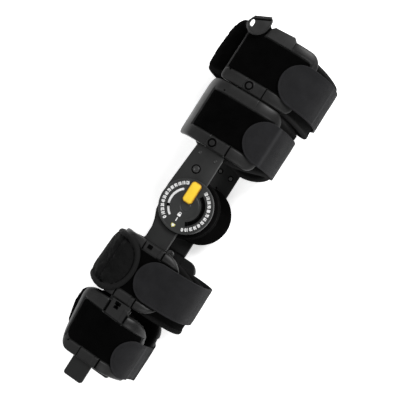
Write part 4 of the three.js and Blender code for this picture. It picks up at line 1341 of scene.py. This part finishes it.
# Assembly of the cuffs
def build_cuff(cuff_name):
    cuff, body = CUFFS[cuff_name], f"{cuff_name}_cuff"
    liner, stations, low, high = make_liner(f"{cuff_name}_padding", cuff)
    dress(liner, LINER_KNIT, body, "liner", f"{cuff_name}_liner")
    stitches = liner_stitches(f"{cuff_name}_stitches", cuff, stations, low, high)
    dress(stitches, THREAD, body, "liner")
    for side_name, side in SIDES.items():
        shell = make_shell(f"{cuff_name}_moulding_{side_name}", cuff, BORDERS[cuff_name], side)
        dress(shell, SHELL_PLASTIC, body, "shell", f"{cuff_name}_shell_{side_name}")
        # Dark rods in the groove bottoms: painted shade
        lines = make_groove_shade(f"{cuff_name}_lines_{side_name}", cuff, BORDERS[cuff_name], side)
        dress(lines, DARK_PLASTIC_AND_PAINTED_SHADE, body, "shell")
        pad = make_loop_pad(f"{cuff_name}_nap_{side_name}", cuff, side)
        dress(pad, LOOP_NAP, body, "loop_pad", f"{cuff_name}_loop_pad_{side_name}")
        pad_ends = (left_station(cuff["pad_left"]), right_station(cuff["pad_right"]))
        pad_long = Ruler(cuff, *pad_ends, SHELL_FLAT, 0).total
        button, face = make_lock_button(f"{cuff_name}_button_{side_name}", cuff, side)
        dress(button, SHELL_PLASTIC, body, "shell", f"{cuff_name}_lock_button_{side_name}")
        # Dark ring or slot on the lock button: painted shade for its gap
        mark = make_lock_gap_shade(f"{cuff_name}_button_gap_shade_{side_name}", cuff, face, side)
        dress(mark, DARK_PLASTIC_AND_PAINTED_SHADE, body, "shell")
        for number, (x, y) in enumerate(SHELL_DOTS[cuff_name]):
            dot = make_shell_dot(f"{cuff_name}_dot_{number}_{side_name}", cuff, x, y, side)
            dress(dot, DARK_PLASTIC_AND_PAINTED_SHADE, body, "shell")
    strap, flat, area = make_strap(f"{cuff_name}_band", cuff)
    dress(strap, STRAP_KNIT, body, "strap", f"{cuff_name}_strap")


def build_hinge(side_name, side):
    upright = make_thigh_upright(f"thigh_bar_{side_name}", side)
    dress(upright, COATED_METAL, "thigh", "upright", f"thigh_upright_{side_name}")
    lower = make_calf_upright(f"calf_bar_{side_name}", side)
    dress(lower, COATED_METAL_DULLER_COPY, "calf", "upright", f"calf_upright_{side_name}")
    for number, (x, y, radius, head) in enumerate(RIVETS):
        rivet = make_rivet(f"rivet_{number}_{side_name}", x, y, radius, head, side)
        dress(rivet, RIVET_METAL, "thigh", "upright")
    # Dark discs round the rivets and in the hole: painted shade
    gap_shades = [make_shade_disc("gap", RIVETS[2][0], RIVETS[2][1], 5.3, BAR_INNER + BAR_THICK, side)]
    for number, (x, y, radius, head) in enumerate(INNER_RIVETS):
        rivet = make_rivet(f"inner_rivet_{number}_{side_name}", x, y, radius, head, side, BAR_INNER, -1)
        dress(rivet, INNER_METAL, "thigh", "upright")
        gap_shades.append(make_shade_disc("gap", x, y, radius + 1.2, BAR_INNER, side, -1))
    gap_shades.append(make_shade_disc("gap", *INNER_HOLE, BAR_INNER, side, -1))
    dress(joined(f"rivet_gaps_{side_name}", gap_shades), DARK_PLASTIC_AND_PAINTED_SHADE, "thigh", "upright")
    dress(make_dial(f"dial_plate_{side_name}", side), DIAL_PLASTIC, "thigh", "dial", f"dial_{side_name}")
    dress(dial_numbers(f"dial_numbers_{side_name}", side), WHITE_PRINT, "thigh", "dial")
    slot_floor = DIAL_FACE - DIAL["slot_depth"]
    inlay_foot, inlay_face = slot_floor - 0.2, slot_floor + 0.2
    inlay = ring_sector(f"dial_inlay_{side_name}", 18.4, 21.2, 128, 238, inlay_foot, inlay_face, side, 0.12)
    dress(inlay, WHITE_PRINT, "thigh", "dial")
    # Dark floor in the flexion slot and dark bands round it: painted shade
    band = (DIAL_FACE - DIAL_SUNK - 0.3, DIAL_FACE - DIAL_SUNK + 0.1)
    groove = joined(f"dial_groove_{side_name}", [
        ring_sector("floor", 18.3, 21.3, -51, 61, slot_floor - 0.2, slot_floor + 0.1, side, 0.05),
        ring_sector("inner_band", 17.5, 18.2, -52, 62, *band, side, 0.05),
        ring_sector("outer_band", 21.4, 22.1, -52, 62, *band, side, 0.05),
        ring_sector("end_band", 17.3, 22.6, -60, -52.5, *band, side, 0.05),
    ])
    dress(groove, DARK_PLASTIC_AND_PAINTED_SHADE, "thigh", "dial")
    body = rounded_rectangle(-3, 1, -13.4, -10.4, 0.5, 4)
    bow_path = np.array([(x, y, DIAL_FACE + 0.05) for x, y in arc(-1, -10.2, 1.4, 0, 180, 14)])
    stroke = rounded_rectangle(-1.5, -0.4, -19.6, -15, 0.4, 3)
    lock = joined(f"dial_lock_mark_{side_name}", [
        prism("body", body, DIAL_FACE - 0.4, DIAL_FACE + 0.14, 0.05, side),
        tube("bow", mirrored(bow_path, side), 0.42, 6, squash=0.4),
        prism("line", stroke, DIAL_FACE - 0.6, DIAL_FACE - 0.2, 0.04, side),
    ])
    dress(lock, WHITE_PRINT, "thigh", "dial")
    arrow = [(-3.4, -23), (1.4, -23), (1.4, -25.4), (-1, -27.6), (-3.4, -25.4)]
    arrow = prism(f"dial_arrow_{side_name}", arrow, DIAL_FACE - 0.6, DIAL_FACE - 0.2, 0.05, side)
    dress(arrow, YELLOW_PRINT, "thigh", "dial")
    tip = [(-2.4, -23.4), (0.4, -23.4), (0.4, -25.2), (-1, -26.6), (-2.4, -25.2)]
    tip = prism(f"dial_arrow_tip_{side_name}", tip, DIAL_FACE - 0.5, DIAL_FACE - 0.1, 0.05, side)
    dress(tip, WHITE_PRINT, "thigh", "dial")
    slider = make_slider(f"lock_key_{side_name}", side)
    dress(slider, YELLOW_PLASTIC, f"lock_slider_{side_name}", "lock_slider", f"lock_slider_{side_name}")
    pad = make_condyle_pad(f"condyle_cushion_{side_name}", side)
    dress(pad, PAD_NAP, "thigh", "condyle_pad", f"condyle_pad_{side_name}")
    for stop in ("extension_stop", "flexion_stop"):
        paint(NODES[f"{stop}_{side_name}"], DARK_PLASTIC_AND_PAINTED_SHADE)
    paint(NODES[f"hinge_pin_{side_name}"], RIVET_METAL)


# Camera, floor and light
def camera_axes():
    yaw, pitch, roll = (math.radians(VIEW[key]) for key in ("yaw", "pitch", "roll"))
    back = Vector((math.sin(yaw) * math.cos(pitch), math.sin(pitch), math.cos(yaw) * math.cos(pitch)))
    right = Vector((0, 1, 0)).cross(back).normalized()
    up = back.cross(right)
    c, s = math.cos(roll), math.sin(roll)
    return right * c + up * s, up * c - right * s, back


def add_camera():
    right, up, back = camera_axes()
    aim = Vector(HINGE) + Vector((*VIEW["aim"], DIAL_FACE)) * MM
    data = bpy.data.cameras.new("camera")
    data.sensor_width = 36
    data.lens = data.sensor_width * VIEW["distance"] / (IMAGE * VIEW["pixel"])
    data.clip_start, data.clip_end = 0.05, 20
    camera = bpy.data.objects.new("camera", data)
    bpy.context.scene.collection.objects.link(camera)
    turn = Matrix((right, up, back)).transposed().to_4x4()
    camera.matrix_world = Matrix.Translation(aim + back * VIEW["distance"] * MM) @ turn
    bpy.context.scene.camera = camera


def add_light(name, direction, distance, size, power):
    data = bpy.data.lights.new(name, "AREA")
    data.shape, data.size, data.energy = "DISK", size, power
    light = bpy.data.objects.new(name, data)
    bpy.context.scene.collection.objects.link(light)
    toward = Vector(direction).normalized()
    light.location = toward * distance + Vector((0, 0, 0.06))
    light.rotation_euler = toward.to_track_quat("Z", "Y").to_euler()


def add_stage():
    corners = np.array([(-1, -1, 0), (1, -1, 0), (1, 1, 0), (-1, 1, 0)]) * FLOOR_HALF
    floor = mesh_object("floor", corners - HINGE / MM, [[0, 1, 2, 3]])
    material, tree, shader = new_material("floor paper")
    grain = node(tree, "ShaderNodeTexNoise", {"Scale": 300, "Detail": 2})
    tree.links.new(shades(tree, grain.outputs["Fac"], grey(0.93), grey(0.95)), shader.inputs["Base Color"])
    shader.inputs["Roughness"].default_value = 0.9
    shader.inputs["Specular IOR Level"].default_value = 0.1
    shader.inputs["Emission Color"].default_value = (1, 1, 1, 1)
    shader.inputs["Emission Strength"].default_value = FLOOR_GLOW
    floor.data.materials.append(material)
    right, up, _ = camera_axes()
    for name, (across, along, over), distance, size, power in LIGHTS:
        add_light(name, right * across + up * along + Vector((0, 0, over)), distance, size, power)
    scene = bpy.context.scene
    world = bpy.data.worlds.new("studio")
    scene.world = world
    world.use_nodes = True
    sky = world.node_tree.nodes["Background"]
    sky.inputs["Color"].default_value = (1, 1, 1, 1)
    sky.inputs["Strength"].default_value = SKY_LIGHT
    scene.view_settings.view_transform = "Standard"


for cuff_name in CUFFS:
    build_cuff(cuff_name)
for side_name, side in SIDES.items():
    build_hinge(side_name, side)
    cap = make_top_cap(f"upper_thigh_bar_cap_{side_name}", side)
    dress(cap, CAP_PLASTIC, "upper_thigh_cuff", "shell")
    guide = make_bar_guide(f"lower_calf_bar_guide_{side_name}", side)
    dress(guide, SHELL_PLASTIC, "lower_calf_cuff", "shell")
    dress(make_liner_snap(f"upper_calf_snap_{side_name}", side), INNER_METAL, "upper_calf_cuff", "shell")
wing, wing_seam = make_wing("upper_calf_padded_wing", CUFFS["upper_calf"])
dress(wing_seam, DARK_PLASTIC_AND_PAINTED_SHADE, "upper_calf_cuff", "wing")
dress(wing, WING_KNIT, "upper_calf_cuff", "wing", "upper_calf_wing")
loop, loop_shade = make_strap_loop("upper_thigh_loop")
dress(loop_shade, DARK_PLASTIC_AND_PAINTED_SHADE, "upper_thigh_cuff", "shell")
dress(loop, CAP_PLASTIC, "upper_thigh_cuff", "shell", "upper_thigh_strap_loop")
add_camera()
add_stage()

bpy.context.view_layer.update()
